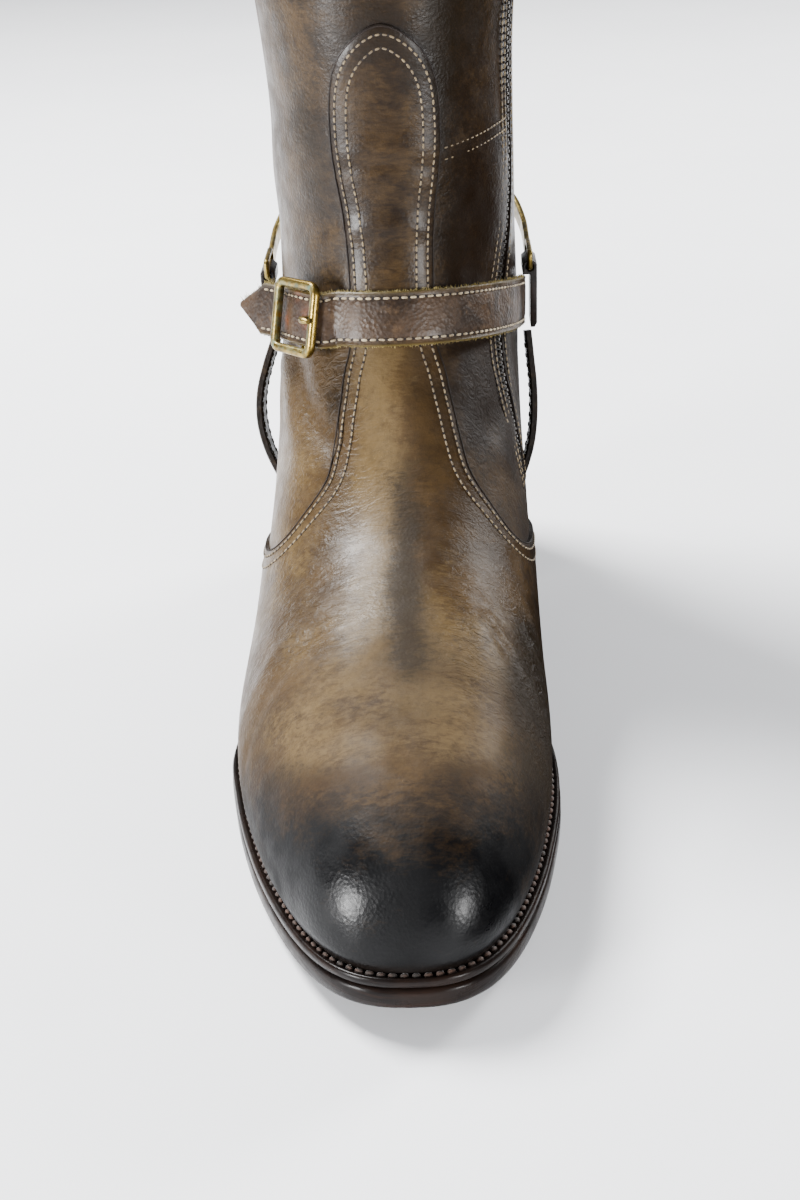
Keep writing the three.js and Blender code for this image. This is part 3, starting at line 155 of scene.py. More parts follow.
def knots():
    y = feather(ROWS[:, 0], 1, 0)[0]
    z = underside(y) + FEATHER_UP + ROWS[:, 1] * SHAFT_RISE
    y = y + climb_back(ROWS[:, 1] * SHAFT_RISE)
    fy, fz = y - ROWS[:, 2] * OUTSOLE_LENGTH, z + ROWS[:, 3] * INSTEP_HEIGHT
    d = np.hypot(np.diff(y), np.diff(z)) + np.hypot(np.diff(fy), np.diff(fz))
    s = np.r_[0, np.cumsum(d)]
    return s / s[-1]


STATIONS = knots()
HEEL_ROW = int(np.argmax(ROWS[:, 0] == 1))


def at(name, u):
    return spline(STATIONS, ROWS[:, COLUMNS.index(name)], u)


def section_ends(u, offset):
    run = np.clip(at("run", u), 0, 1)
    climb = np.where(u > STATIONS[HEEL_ROW], np.maximum(at("climb", u), 0) * SHAFT_RISE, 0)
    low0, low = feather(run, 1, 0)[0], feather(run, 1, offset)[0]
    back = np.stack([low + climb_back(climb), underside(low) + FEATHER_UP + climb], -1)
    rise = at("height", u) * INSTEP_HEIGHT * end_round(run, TOE_BOX_ROUND)
    front = np.stack([low0 + climb_back(climb) - at("reach", u) * OUTSOLE_LENGTH,
                      underside(low0) + FEATHER_UP + climb + rise], -1)
    return run, climb, back, front


def front_point(u, offset):
    a = section_ends(np.maximum(u - 0.002, 0), 0)[3]
    b = section_ends(np.minimum(u + 0.002, 1), 0)[3]
    d = (b - a) / np.linalg.norm(b - a, axis=-1, keepdims=True)
    level = smoothstep(u, STATIONS[-3], 1)
    return section_ends(u, 0)[3] + offset * np.stack([-d[:, 1], d[:, 0] * (1 - level)], -1)


def half_section(u, side, offset, count, fine=90):
    """Points from the top centre line down one side, equally spaced along each section."""
    run, climb, back, _ = section_ends(u, offset)
    name = "inside" if side > 0 else "outside"
    widest = (at(name, u) * BALL_WIDTH + offset) * end_round(run, TOE_ROUND)
    opened = np.where(climb > 0, 0, np.minimum(feather(run, side, offset)[1], widest * 0.999))
    mid, top, low = at("widest", u)[:, None], at("top", u)[:, None], at("low", u)[:, None]
    share = np.where(widest > 0, opened / np.maximum(widest, 1e-9), 0)[:, None]
    drop = mid / (1 - share**low) ** (1 / low)
    w = widest[:, None]
    a = np.linspace(0, np.pi / 2, fine)[None]
    b = np.linspace(0, 1, fine)[None, 1:] * np.arcsin(np.minimum(mid / drop, 1) ** (low / 2))
    half = np.hstack([w * np.sin(a) ** (2 / top), w * np.cos(b) ** (2 / low)])
    up = np.hstack([mid + (1 - mid) * np.cos(a) ** (2 / top), np.maximum(mid - drop * np.sin(b) ** (2 / low), 0)])
    front = front_point(u, offset)
    ridge = at("ridge", u)[:, None] * BALL_WIDTH
    p = np.stack([side * half + ridge * up,
                  back[:, :1] + (front - back)[:, :1] * up,
                  back[:, 1:] + (front - back)[:, 1:] * up], -1)
    out = np.empty((len(u), count + 1, 3))
    for i in range(len(u)):
        s = np.r_[0, np.cumsum(np.linalg.norm(np.diff(p[i], axis=0), axis=1))]
        for k in range(3):
            out[i, :, k] = np.interp(np.linspace(0, s[-1], count + 1), s, p[i, :, k])
    return out


def skin_grid(rows, columns, offset):
    toe = max(rows // 12, 4)
    u = np.r_[STATIONS[1] * (np.arange(toe) / toe) ** 2, np.linspace(STATIONS[1], 1, rows - toe)]
    heel = np.argmin(abs(u - STATIONS[HEEL_ROW]))
    u[heel] = STATIONS[HEEL_ROW]
    outside = half_section(u, -1, offset, columns)[:, ::-1]
    grid = np.concatenate([outside, half_section(u, 1, offset, columns)[:, 1:]], 1)
    # The front line bends at once where the rows start to climb, so the skin is eased there
    reach = max(int(rows * 0.03), 2)
    kernel = np.exp(-np.linspace(-2, 2, 2 * reach + 1) ** 2)
    kernel /= kernel.sum()
    padded = np.concatenate([grid[:1]] * reach + [grid] + [grid[-1:]] * reach)
    eased = sum(k * padded[i:i + rows] for i, k in enumerate(kernel))
    near_front = smoothstep(1 - abs(np.arange(2 * columns + 1) - columns) / columns, 0.25, 0.6)
    near_heel = np.exp(-((np.arange(rows) - heel) / (rows * 0.045)) ** 2)
    share = (near_heel[:, None] * near_front[None])[:, :, None]
    return grid * (1 - share) + eased * share, heel


def grid_normals(g):
    n = np.cross(np.gradient(g, axis=1), np.gradient(g, axis=0))
    n /= np.maximum(np.linalg.norm(n, axis=-1, keepdims=True), 1e-9)
    n[0] = n[1]
    return n


def unit(v):
    return v / max(np.linalg.norm(v), 1e-12)


def vec(*v):
    return np.array(v, float)


# The plain outer face, for finding places on it
coarse, _ = skin_grid(200, 56, 0.0)
FACE_NORMAL_SIGN = 1.0
_rows, _cols = coarse.shape[:2]
_quads = [(i * _cols + j, i * _cols + j + 1, (i + 1) * _cols + j + 1, (i + 1) * _cols + j)
          for i in range(_rows - 1) for j in range(_cols - 1)]
FACE = BVHTree.FromPolygons([Vector(p) for p in coarse.reshape(-1, 3)], _quads)


def hit(origin, direction):
    p, n, _, _ = FACE.ray_cast(Vector(origin), Vector(direction))
    return (None, None) if p is None else (np.array(p), np.array(n))


def side_hit(side, y, z):
    p, n = hit((side * 200, y, z), (-side, 0, 0))
    if p is not None and n[0] * side < 0:
        n = -n
    return p, n


def front_hit(x, z):
    p, n = hit((x, -400, z), (0, 1, 0))
    if p is not None and n[1] > 0:
        n = -n
    return p, n


def side_half(side, y, z):
    p, _ = side_hit(side, y, z)
    return side * p[0] if p is not None else 0.0


def wall_point(turn, z):
    a = math.radians(turn)
    return hit((0, ANKLE_Y, z), (math.sin(a), -math.cos(a), 0))[0]


def catmull(points, t):
    """Centripetal curve through the points, at t from 0 to 1, and its tangent."""
    pts = [np.asarray(p, float) for p in points]
    pts = [2 * pts[0] - pts[1]] + pts + [2 * pts[-1] - pts[-2]]

    def place(v):
        q = np.clip(v, 0, 1) * (len(points) - 1)
        k = min(int(q), len(points) - 2)
        f = q - k
        p0, p1, p2, p3 = pts[k:k + 4]
        d0, d1, d2 = (max(np.linalg.norm(b - a) ** 0.5, 1e-4) for a, b in ((p0, p1), (p1, p2), (p2, p3)))
        m1 = ((p1 - p0) / d0 - (p2 - p0) / (d0 + d1) + (p2 - p1) / d1) * d1
        m2 = ((p2 - p1) / d1 - (p3 - p1) / (d1 + d2) + (p3 - p2) / d2) * d1
        return p1 + m1 * f + (-3 * p1 + 3 * p2 - 2 * m1 - m2) * f**2 + (2 * p1 - 2 * p2 + m1 + m2) * f**3
    return place(t), unit(place(min(t + 1e-3, 1)) - place(max(t - 1e-3, 0)))


def frames_through(stops, steps):
    """stops: (point, across, half). Returns frames (centre, normal, across, half) along the curve."""
    frames = []
    for i in range(steps + 1):
        t = i / steps
        k = min(int(t * (len(stops) - 1)), len(stops) - 2)
        f = t * (len(stops) - 1) - k
        centre, tangent = catmull([s[0] for s in stops], t)
        across = stops[k][1] * (1 - f) + stops[k + 1][1] * f
        across = unit(across - tangent * (across @ tangent))
        frames.append((centre, unit(np.cross(across, tangent)), across, stops[k][2] * (1 - f) + stops[k + 1][2] * f))
    return frames


# Meshes
def new_object(name, verts, faces, materials, body=BODY, slot=None, replaces=(), face_materials=None, sharp=40.0):
    mesh = bpy.data.meshes.new(name)
    mesh.from_pydata((np.asarray(verts, float) * MM).tolist(), [], [tuple(int(i) for i in f) for f in faces])
    for m in materials:
        mesh.materials.append(m)
    if face_materials is not None:
        mesh.polygons.foreach_set("material_index", np.asarray(face_materials, np.int32))
    bm = bmesh.new()
    bm.from_mesh(mesh)
    bmesh.ops.recalc_face_normals(bm, faces=bm.faces)
    bm.to_mesh(mesh)
    bm.free()
    mesh.shade_smooth()
    mesh.set_sharp_from_angle(angle=math.radians(sharp))
    obj = bpy.data.objects.new(name, mesh)
    bpy.context.scene.collection.objects.link(obj)
    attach(obj, body)
    if replaces:
        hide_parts(*replaces)
    return obj


def point_value(obj, name, values):
    a = obj.data.attributes.new(name, "FLOAT", "POINT")
    a.data.foreach_set("value", np.asarray(values, np.float32))


class Shape:
    """Verts and faces gathered for one object."""

    def __init__(self):
        self.verts, self.faces, self.mats = [], [], []

    def add(self, verts, faces, mat=0):
        n = len(self.verts)
        self.verts.extend(np.asarray(verts, float).tolist())
        self.faces.extend([tuple(i + n for i in f) for f in faces])
        self.mats.extend([mat] * len(faces))

    def rows(self, rows, closed_rows=True, closed_loop=False, caps=True, mat=0):
        """Rows of points joined in order; closed_rows joins each row's end, closed_loop the last row to the first."""
        r, c = len(rows), len(rows[0])
        faces = []
        for i in range(r if closed_loop else r - 1):
            k = (i + 1) % r
            for j in range(c if closed_rows else c - 1):
                m = (j + 1) % c
                faces.append((i * c + j, i * c + m, k * c + m, k * c + j))
        if caps and not closed_loop:
            faces.append(tuple(range(c))[::-1])
            faces.append(tuple((r - 1) * c + j for j in range(c)))
        self.add(np.concatenate([np.asarray(x, float) for x in rows]), faces, mat)

    def make(self, name, materials, **kw):
        return new_object(name, self.verts, self.faces, materials, face_materials=self.mats, **kw)


def strap_profile(half, t, round_=0.7, groove=None, crown=0.15):
    """Closed profile (normal, across): rounded edges, a slight crown, and a shallow groove along each seam."""
    h = t / 2
    ws = np.linspace(-half + round_, half - round_, 17)
    top = h + crown * (1 - (ws / half) ** 2) - crown
    if groove:
        top = top - 0.22 * np.exp(-((abs(ws) - (half - groove)) / 0.7) ** 2)
    arc = [(math.cos(a), math.sin(a)) for a in np.linspace(0.25, math.pi - 0.25, 4)]
    r = min(round_, h * 0.95)
    pts = [(n, w) for n, w in zip(top, ws)]
    pts += [((h - r) * (1 if c > 0 else -1) * abs(c) ** 0.2 + r * c, half - round_ + round_ * s) for c, s in arc]
    pts += [(-h, w) for w in ws[::-4]]
    pts += [((h - r) * (1 if c > 0 else -1) * abs(c) ** 0.2 + r * c, -(half - round_ + round_ * s)) for c, s in arc[::-1]]
    return pts


def round_profile(r_n, r_w, count=12, power=2.0):
    a = np.arange(count) * 2 * np.pi / count
    f = lambda v: np.sign(v) * abs(v) ** (2 / power)
    return list(zip(r_n * f(np.cos(a)), r_w * f(np.sin(a))))


def sweep(shape, frames, profile, closed_loop=False, mat=0):
    """profile(half) gives (normal, across) points for each frame."""
    rows = [[c + n * pn + a * pw for pn, pw in profile(h)] for c, n, a, h in frames]
    shape.rows(rows, closed_loop=closed_loop, mat=mat)


def resample(points, spacing, extra=None):
    """Points every spacing along a polyline, with other rows of values carried along."""
    p = np.asarray(points, float)
    s = np.r_[0, np.cumsum(np.linalg.norm(np.diff(p, axis=0), axis=1))]
    n = max(int(round(s[-1] / spacing)), 2)
    q = np.linspace(0, s[-1], n + 1)
    pick = lambda v: np.stack([np.interp(q, s, np.asarray(v, float)[:, k]) for k in range(3)], -1)
    return pick(p) if extra is None else (pick(p), pick(extra))


def stitch_row(shape, points, normals, pitch=3.0, length=2.3, width=0.85, rise=0.42, thread=0, hole=None, seed=1):
    """A row of thread stitches that lie on the leather, each a small bead that dips in at its ends."""
    rng = np.random.default_rng(seed)
    p, n = resample(points, pitch, normals)
    for i in range(len(p) - 1):
        c, t = (p[i] + p[i + 1]) / 2, unit(p[i + 1] - p[i])
        up = unit(n[i] + n[i + 1])
        b = unit(np.cross(up, t))
        t = unit(t + b * rng.normal(0, 0.035))
        half = length / 2 * rng.uniform(0.93, 1.06)
        rings = []
        for a in (-1, -0.82, -0.4, 0.4, 0.82, 1):
            r = math.sqrt(max(1 - abs(a) ** 3, 0.02))
            base = c + t * (a * half) + up * (rise * (0.35 * r - 0.25))
            rings.append([base + b * (width / 2 * r * math.cos(q)) + up * (rise * 0.75 * r * math.sin(q))
                          for q in np.arange(6) * math.pi / 3])
        shape.rows(rings, mat=thread)
        # A dark disc at each stitch end: painted shade in the stitch hole
        if hole is not None:
            e = p[i]
            ring = [e + up * 0.06 + t * (0.42 * math.cos(q)) + b * (0.42 * math.sin(q)) for q in np.arange(6) * math.pi / 3]
            shape.rows([ring, [v - up * 0.4 for v in ring]], mat=hole)


# Materials
class Paint:
    """A Principled material built from small calls; lengths in its noise are in millimetres."""

    def __init__(self, name, **sockets):
        self.mat = bpy.data.materials.new(name)
        self.mat.use_nodes = True
        self.tree = self.mat.node_tree
        self.bsdf = self.tree.nodes["Principled BSDF"]
        for k, v in sockets.items():
            self.bsdf.inputs[k.replace("_", " ")].default_value = v
        self.coord = self.node("ShaderNodeTexCoord").outputs["Object"]

    def node(self, kind, **settings):
        n = self.tree.nodes.new(kind)
        for k, v in settings.items():
            setattr(n, k, v)
        return n

    def link(self, value, socket):
        if isinstance(value, (int, float)):
            socket.default_value = value
        elif isinstance(value, tuple):
            socket.default_value = value if len(value) != 3 or len(socket.default_value) == 3 else (*value, 1)
        else:
            self.tree.links.new(value, socket)

    def scaled(self, sx, sy, sz, turn=(0, 0, 0)):
        m = self.node("ShaderNodeMapping")
        self.link(self.coord, m.inputs["Vector"])
        m.inputs["Rotation"].default_value = turn
        m.inputs["Scale"].default_value = (sx, sy, sz)
        return m.outputs["Vector"]

    def noise(self, size, detail=4.0, rough=0.55, distort=0.0, stretch=(1, 1, 1), turn=(0, 0, 0)):
        k = 1000.0 / size
        n = self.node("ShaderNodeTexNoise")
        self.link(self.scaled(k * stretch[0], k * stretch[1], k * stretch[2], turn), n.inputs["Vector"])
        n.inputs["Scale"].default_value = 1.0
        n.inputs["Detail"].default_value = detail
        n.inputs["Roughness"].default_value = rough
        n.inputs["Distortion"].default_value = distort
        return n.outputs["Fac"]

    def voronoi(self, size, feature="F1", randomness=1.0, stretch=(1, 1, 1)):
        k = 1000.0 / size
        n = self.node("ShaderNodeTexVoronoi", feature=feature)
        self.link(self.scaled(k * stretch[0], k * stretch[1], k * stretch[2]), n.inputs["Vector"])
        n.inputs["Scale"].default_value = 1.0
        n.inputs["Randomness"].default_value = randomness
        return n.outputs["Distance"]

    def ramp(self, value, low, high, a=0.0, b=1.0):
        n = self.node("ShaderNodeMapRange", interpolation_type="SMOOTHSTEP")
        self.link(value, n.inputs["Value"])
        for k, v in (("From Min", low), ("From Max", high), ("To Min", a), ("To Max", b)):
            n.inputs[k].default_value = v
        return n.outputs["Result"]

    def math(self, op, a, b=0.0):
        n = self.node("ShaderNodeMath", operation=op)
        self.link(a, n.inputs[0])
        self.link(b, n.inputs[1])
        return n.outputs[0]

    def mix(self, fac, a, b, mode="MIX"):
        n = self.node("ShaderNodeMix", data_type="RGBA", blend_type=mode)
        self.link(fac, n.inputs["Factor"])
        for v, s in ((a, n.inputs[6]), (b, n.inputs[7])):
            self.link(v, s)
        return n.outputs[2]

    def value(self, name):
        return self.node("ShaderNodeAttribute", attribute_name=name).outputs["Fac"]

    def bump(self, height, distance, strength=1.0, normal=None):
        n = self.node("ShaderNodeBump")
        n.inputs["Strength"].default_value = strength
        n.inputs["Distance"].default_value = distance * MM
        self.link(height, n.inputs["Height"])
        if normal is not None:
            self.link(normal, n.inputs["Normal"])
        return n.outputs["Normal"]

    def finish(self, color=None, roughness=None, normal=None, metallic=None):
        for v, k in ((color, "Base Color"), (roughness, "Roughness"), (normal, "Normal"), (metallic, "Metallic")):
            if v is not None:
                self.link(v, self.bsdf.inputs[k])
        return self.mat


def srgb(r, g, b):
    f = lambda c: c / 12.92 if c <= 0.04045 else ((c + 0.055) / 1.055) ** 2.4
    return tuple(f(c / 255.0) for c in (r, g, b))


def upper_leather():
    m = Paint("upper_leather", Coat_Weight=0.05, Coat_Roughness=0.2, Specular_IOR_Level=0.12)
    cloud = m.noise(48, 5, 0.6, 0.8)
    patch = m.noise(18, 6, 0.65, 0.4)
    fine = m.noise(2.6, 5, 0.65)
    hair = m.noise(1.1, 5, 0.7, 0.6, (0.25, 0.8, 1), (0, 0.35, 0.3))
    speck = m.noise(0.7, 3, 0.6)
    half_hair = m.ramp(hair, 0.25, 0.75, -0.2, 0.2)
    half_patch = m.ramp(patch, 0.25, 0.75, -0.28, 0.28)

    def over(color, mask, other, low=0.3, high=0.8, amount=1.0):
        spread = m.math("ADD", m.math("ADD", mask, half_hair), half_patch)
        seen = m.math("MULTIPLY", m.ramp(spread, low, high, 0, amount), m.ramp(mask, 0.0, 0.15))
        return m.mix(seen, color, other)

    c = m.mix(m.ramp(cloud, 0.34, 0.66), srgb(60, 45, 25), srgb(42, 30, 16))
    c = m.mix(m.ramp(patch, 0.40, 0.70, 0, 0.7), c, srgb(34, 24, 13))
    c = m.mix(m.ramp(hair, 0.50, 0.68, 0, 0.3), c, srgb(27, 19, 11))
    # Tan mask: tan leather on the vamp, plus painted light on the instep and on the outside face
    c = over(c, m.value("tan"), srgb(84, 68, 43), 0.2, 0.95, 0.9)
    # Brown mask: painted shade on the inside face, plus darker leather in front and towards the welt and back
    c = over(c, m.value("brown_and_painted_shade"), srgb(18, 10, 5), 0.1, 1.0, 0.92)
    # Umber mask: a dark streak down the instep and dark patches, plus painted shade low on the inside face
    c = over(c, m.value("umber_and_painted_shade"), srgb(24, 17, 8), 0.15, 1.0, 0.9)
    # The toe mask darkens the toe cap; its part low on the inside face is painted shade
    c = over(c, m.value("toe"), srgb(22, 15, 9), 0.08, 0.52, 0.8)
    c = over(c, m.value("toe"), srgb(4, 4, 5), 0.42, 0.92)
    c = m.mix(m.ramp(fine, 0.40, 0.75, 0.0, 0.3), c, m.mix(m.value("toe"), srgb(27, 19, 12), srgb(6, 6, 6)))
    c = m.mix(m.ramp(speck, 0.60, 0.76, 0.0, 0.3), c, m.mix(m.value("toe"), srgb(19, 13, 9), srgb(5, 5, 5)))
    # Edge mask on the upper: edge paint plus painted shade at the vamp step, the zip slot and the welt join
    c = m.mix(m.value("edge"), c, srgb(20, 15, 12))
    rough = m.math("ADD", m.ramp(m.noise(7, 5, 0.6), 0.3, 0.7, 0.30, 0.46), m.math("MULTIPLY", m.value("toe"), -0.05))
    rough = m.math("ADD", rough, m.math("MULTIPLY", m.value("matte"), 0.32))
    grain = m.math("ADD", m.math("MULTIPLY", m.voronoi(0.95), 0.6), m.noise(1.6, 4, 0.6))
    n = m.bump(grain, 0.16, 0.5)
    n = m.bump(m.noise(5, 4, 0.55, 0.8, (1, 0.6, 0.6)), 0.3, 0.2, n)
    folds = m.noise(3.6, 4, 0.55, 1.8, (0.4, 1.4, 1.2), (0, 0, 0.5))
    n = m.bump(m.math("MULTIPLY", m.value("wrinkle"), folds), 1.6, 0.9, n)
    m.link(m.ramp(m.value("matte"), 0.0, 1.0, 0.05, 0.012), m.bsdf.inputs["Coat Weight"])
    return m.finish(c, rough, n)


def plain_leather(name, main, dark, light, gloss=0.42, coat=0.2, grain_size=1.1, grain=0.5, edge=None, worn=None):
    m = Paint(name, Coat_Weight=coat, Coat_Roughness=0.2, Specular_IOR_Level=0.2)
    c = m.mix(m.ramp(m.noise(14, 5, 0.62, 0.5), 0.34, 0.68), main, dark)
    c = m.mix(m.ramp(m.noise(4.0, 5, 0.65), 0.50, 0.76, 0, 0.65), c, light)
    c = m.mix(m.ramp(m.noise(0.9, 3, 0.6), 0.55, 0.75, 0, 0.35), c, dark)
    if edge:
        c = m.mix(m.value("edge"), c, edge)
    if worn:
        c = m.mix(m.math("MULTIPLY", m.value("worn"), m.ramp(m.noise(2.0, 4, 0.6), 0.3, 0.55)), c, worn)
    n = m.bump(m.math("ADD", m.voronoi(grain_size), m.noise(grain_size * 2, 4, 0.6)), 0.25, grain)
    n = m.bump(m.noise(7, 4, 0.6), 0.6, 0.25, n)
    return m.finish(c, m.ramp(m.noise(6, 4, 0.6), 0.3, 0.7, gloss - 0.07, gloss + 0.1), n)


def brass_finish():
    m = Paint("antique_brass", Metallic=1.0)
    wear = m.noise(5, 5, 0.65)
    c = m.mix(m.ramp(wear, 0.35, 0.65), srgb(150, 126, 62), srgb(88, 72, 34))
    c = m.mix(m.ramp(m.noise(1.6, 4, 0.65), 0.55, 0.75, 0, 0.8), c, srgb(62, 50, 32))
    green = m.math("MULTIPLY", m.value("patina"), m.ramp(m.noise(2.4, 4, 0.6), 0.38, 0.58))
    c = m.mix(green, c, srgb(60, 100, 90))
    rough = m.math("ADD", m.ramp(wear, 0.3, 0.7, 0.22, 0.42), m.math("MULTIPLY", green, 0.35))
    n = m.bump(m.noise(1.2, 4, 0.6), 0.12, 0.5)
    metallic = m.math("SUBTRACT", 1.0, m.math("MULTIPLY", green, 0.85))
    return m.finish(c, rough, n, metallic)


def sole_finish():
    m = Paint("sole_edge", Coat_Weight=0.04, Coat_Roughness=0.16, Specular_IOR_Level=0.2, IOR=1.3)
    c = m.mix(m.ramp(m.noise(18, 5, 0.6), 0.35, 0.65), srgb(22, 14, 10), srgb(12, 8, 7))
    c = m.mix(m.ramp(m.noise(5, 5, 0.6, 0, (0.25, 0.25, 3)), 0.48, 0.72, 0, 0.6), c, srgb(34, 22, 16))
    c = m.mix(m.ramp(m.noise(0.9, 3, 0.6), 0.6, 0.75, 0, 0.4), c, srgb(26, 20, 18))
    n = m.bump(m.noise(3, 4, 0.6, 0, (0.25, 0.25, 3)), 0.25, 0.5)
    n = m.bump(m.noise(14, 3, 0.5), 0.6, 0.3, n)
    return m.finish(c, m.ramp(m.noise(8, 4, 0.6), 0.3, 0.7, 0.24, 0.4), n)


def thread(name, a, b, rough=0.75):
    m = Paint(name, Sheen_Weight=0.15)
    c = m.mix(m.ramp(m.noise(7, 4, 0.7), 0.35, 0.7), a, b)
    n = m.bump(m.noise(0.5, 2, 0.5, 0, (1, 1, 1)), 0.2, 0.6)
    return m.finish(c, rough, n)


LEATHER = upper_leather()
STRAP = plain_leather("strap_leather", srgb(58, 43, 30), srgb(30, 21, 14), srgb(84, 66, 48), 0.44, 0.05, 1.2, 0.7,
                      srgb(84, 72, 34), srgb(92, 52, 30))
TAB = plain_leather("tab_leather", srgb(28, 17, 12), srgb(14, 9, 7), srgb(42, 26, 19), 0.36, 0.15, 1.0, 0.4)
UNDER = plain_leather("under_strap_leather", srgb(30, 22, 16), srgb(16, 12, 9), srgb(58, 46, 30), 0.5, 0.04, 1.1, 0.5)
LINING = plain_leather("lining_leather", srgb(150, 118, 84), srgb(120, 92, 64), srgb(172, 142, 106), 0.6, 0.0, 1.3, 0.4)
INSOLE = plain_leather("insole_leather", srgb(156, 122, 84), srgb(116, 88, 60), srgb(178, 148, 108), 0.55, 0.05, 1.4, 0.4)
HEEL = plain_leather("heel_leather", srgb(36, 24, 18), srgb(20, 14, 11), srgb(50, 34, 25), 0.36, 0.15, 1.8, 0.3)
SOLE = sole_finish()
BRASS = brass_finish()
CREAM = thread("cream_thread", srgb(156, 141, 112), srgb(98, 82, 58))
TAN_THREAD = thread("tan_thread", srgb(116, 100, 72), srgb(66, 53, 36))
RUST = thread("welt_thread", srgb(58, 33, 16), srgb(22, 16, 11))
PALE = thread("pale_thread", srgb(66, 54, 38), srgb(34, 27, 20))
FIBRE = thread("raw_fibre", srgb(132, 116, 62), srgb(84, 72, 38), 0.9)
# Dark colour for the stitch-end discs and the vamp's edge cord: painted shade
HOLE = plain_leather("stitch_hole_shade", srgb(30, 23, 19), srgb(20, 15, 13), srgb(44, 34, 28), 0.7, 0.0, 1.0, 0.2)


def rubber_finish():
    m = Paint("heel_rubber")
    c = m.mix(m.ramp(m.noise(6, 4, 0.6), 0.3, 0.7), srgb(36, 34, 33), srgb(24, 23, 22))
    return m.finish(c, m.ramp(m.noise(3, 4, 0.6), 0.3, 0.7, 0.6, 0.78), m.bump(m.noise(0.8, 3, 0.6), 0.2, 0.5))


def tape_finish():
    m = Paint("zip_cloth", Sheen_Weight=0.2)
    w = m.math("SINE", m.math("MULTIPLY", m.node_xyz("Y") if hasattr(m, "node_xyz") else m.noise(1, 1), 9.0))
    c = m.mix(m.ramp(m.noise(2, 3, 0.6), 0.3, 0.7), srgb(30, 29, 30), srgb(16, 16, 18))
    weave = m.math("MAXIMUM", m.voronoi(0.7, randomness=0.2), w)
    return m.finish(c, 0.86, m.bump(weave, 0.15, 0.5))


def zip_finish():
    m = Paint("zip_metal", Metallic=1.0)
    c = m.mix(m.ramp(m.noise(2.2, 4, 0.6), 0.35, 0.65), srgb(96, 88, 78), srgb(50, 45, 41))
    return m.finish(c, m.ramp(m.noise(1.5, 4, 0.6), 0.3, 0.7, 0.3, 0.5), m.bump(m.noise(0.7, 3, 0.6), 0.08, 0.5))


RUBBER, CLOTH, ZIP = rubber_finish(), tape_finish(), zip_finish()


# Camera, floor and light
CAMERA = vec(13.15, -542.5, 281.0)
PITCH, HEADING, AIM_TURN = math.radians(29.0), math.atan2(0.0593, 0.998), math.radians(4.93)
forward = vec(math.sin(HEADING) * math.cos(PITCH), math.cos(HEADING) * math.cos(PITCH), -math.sin(PITCH))
right = vec(math.cos(HEADING), -math.sin(HEADING), 0)
upward = np.cross(right, forward)
forward, right = (forward * math.cos(AIM_TURN) - right * math.sin(AIM_TURN),
                  right * math.cos(AIM_TURN) + forward * math.sin(AIM_TURN))
camera = bpy.data.objects.new("camera", bpy.data.cameras.new("camera"))
camera.matrix_world = Matrix([[*map(float, (right[i], upward[i], -forward[i], CAMERA[i] * MM))] for i in range(3)] + [[0, 0, 0, 1]])
camera.data.lens, camera.data.sensor_width, camera.data.clip_start = 48.0, 36.0, 0.01
bpy.context.scene.collection.objects.link(camera)
bpy.context.scene.camera = camera

floor_mesh = bpy.data.meshes.new("floor")
floor_mesh.from_pydata([(-6, -6, 0), (6, -6, 0), (6, 6, 0), (-6, 6, 0)], [], [(0, 1, 2, 3)])
floor = bpy.data.objects.new("floor", floor_mesh)
bpy.context.scene.collection.objects.link(floor)
paper = Paint("floor_paper", Roughness=0.75)
floor_mesh.materials.append(paper.finish(
    paper.mix(paper.ramp(paper.noise(260, 4, 0.6), 0.3, 0.7), srgb(240, 241, 243), srgb(235, 236, 239)),
    None, paper.bump(paper.noise(1.2, 3, 0.6), 0.06, 0.4)))

TARGET = vec(0, -110, 90)


def softbox(name, azimuth, elevation, distance, width, height, watts, color=(1, 1, 1)):
    a, e = math.radians(azimuth), math.radians(elevation)
    d = vec(math.sin(a) * math.cos(e), -math.cos(a) * math.cos(e), math.sin(e))
    light = bpy.data.lights.new(name, "AREA")
    light.shape, light.size, light.size_y = "RECTANGLE", width, height
    light.energy, light.color = watts, color
    o = bpy.data.objects.new(name, light)
    o.location = (TARGET + d * distance * 1000) * MM
    o.rotation_euler = Vector(-d).to_track_quat("-Z", "Y").to_euler()
    bpy.context.scene.collection.objects.link(o)


softbox("light_left", -55, 7, 1.5, 0.40, 0.40, 58)
softbox("light_right", 47, 4, 1.5, 0.32, 0.32, 28)
softbox("light_back_left", -126, 54, 1.6, 0.6, 0.6, 100)
softbox("light_back_right", 131, 22, 1.7, 0.5, 0.5, 42)

# A black card beside the inside face, where the other boot would stand; it only darkens that side
card_mesh = bpy.data.meshes.new("dark_card")
card_mesh.from_pydata([(0.14, -0.29, 0.006), (0.14, 0.12, 0.006), (0.14, 0.12, 0.40), (0.14, -0.29, 0.40),
                       (0.045, -0.29, 0.001), (0.045, 0.12, 0.001)], [], [(0, 1, 2, 3), (0, 1, 5, 4)])
card = bpy.data.objects.new("dark_card", card_mesh)
card.visible_camera = False
card.visible_shadow = False
card.visible_diffuse = False
bpy.context.scene.collection.objects.link(card)
card_mesh.materials.append(Paint("black_cloth", Roughness=1.0, Specular_IOR_Level=0.0, Base_Color=(0.004, 0.004, 0.004, 1)).mat)
world = bpy.data.worlds.new("world")
bpy.context.scene.world = world
world.use_nodes = True
world.node_tree.nodes["Background"].inputs["Color"].default_value = (0.93, 0.95, 1.0, 1)
world.node_tree.nodes["Background"].inputs["Strength"].default_value = 0.40


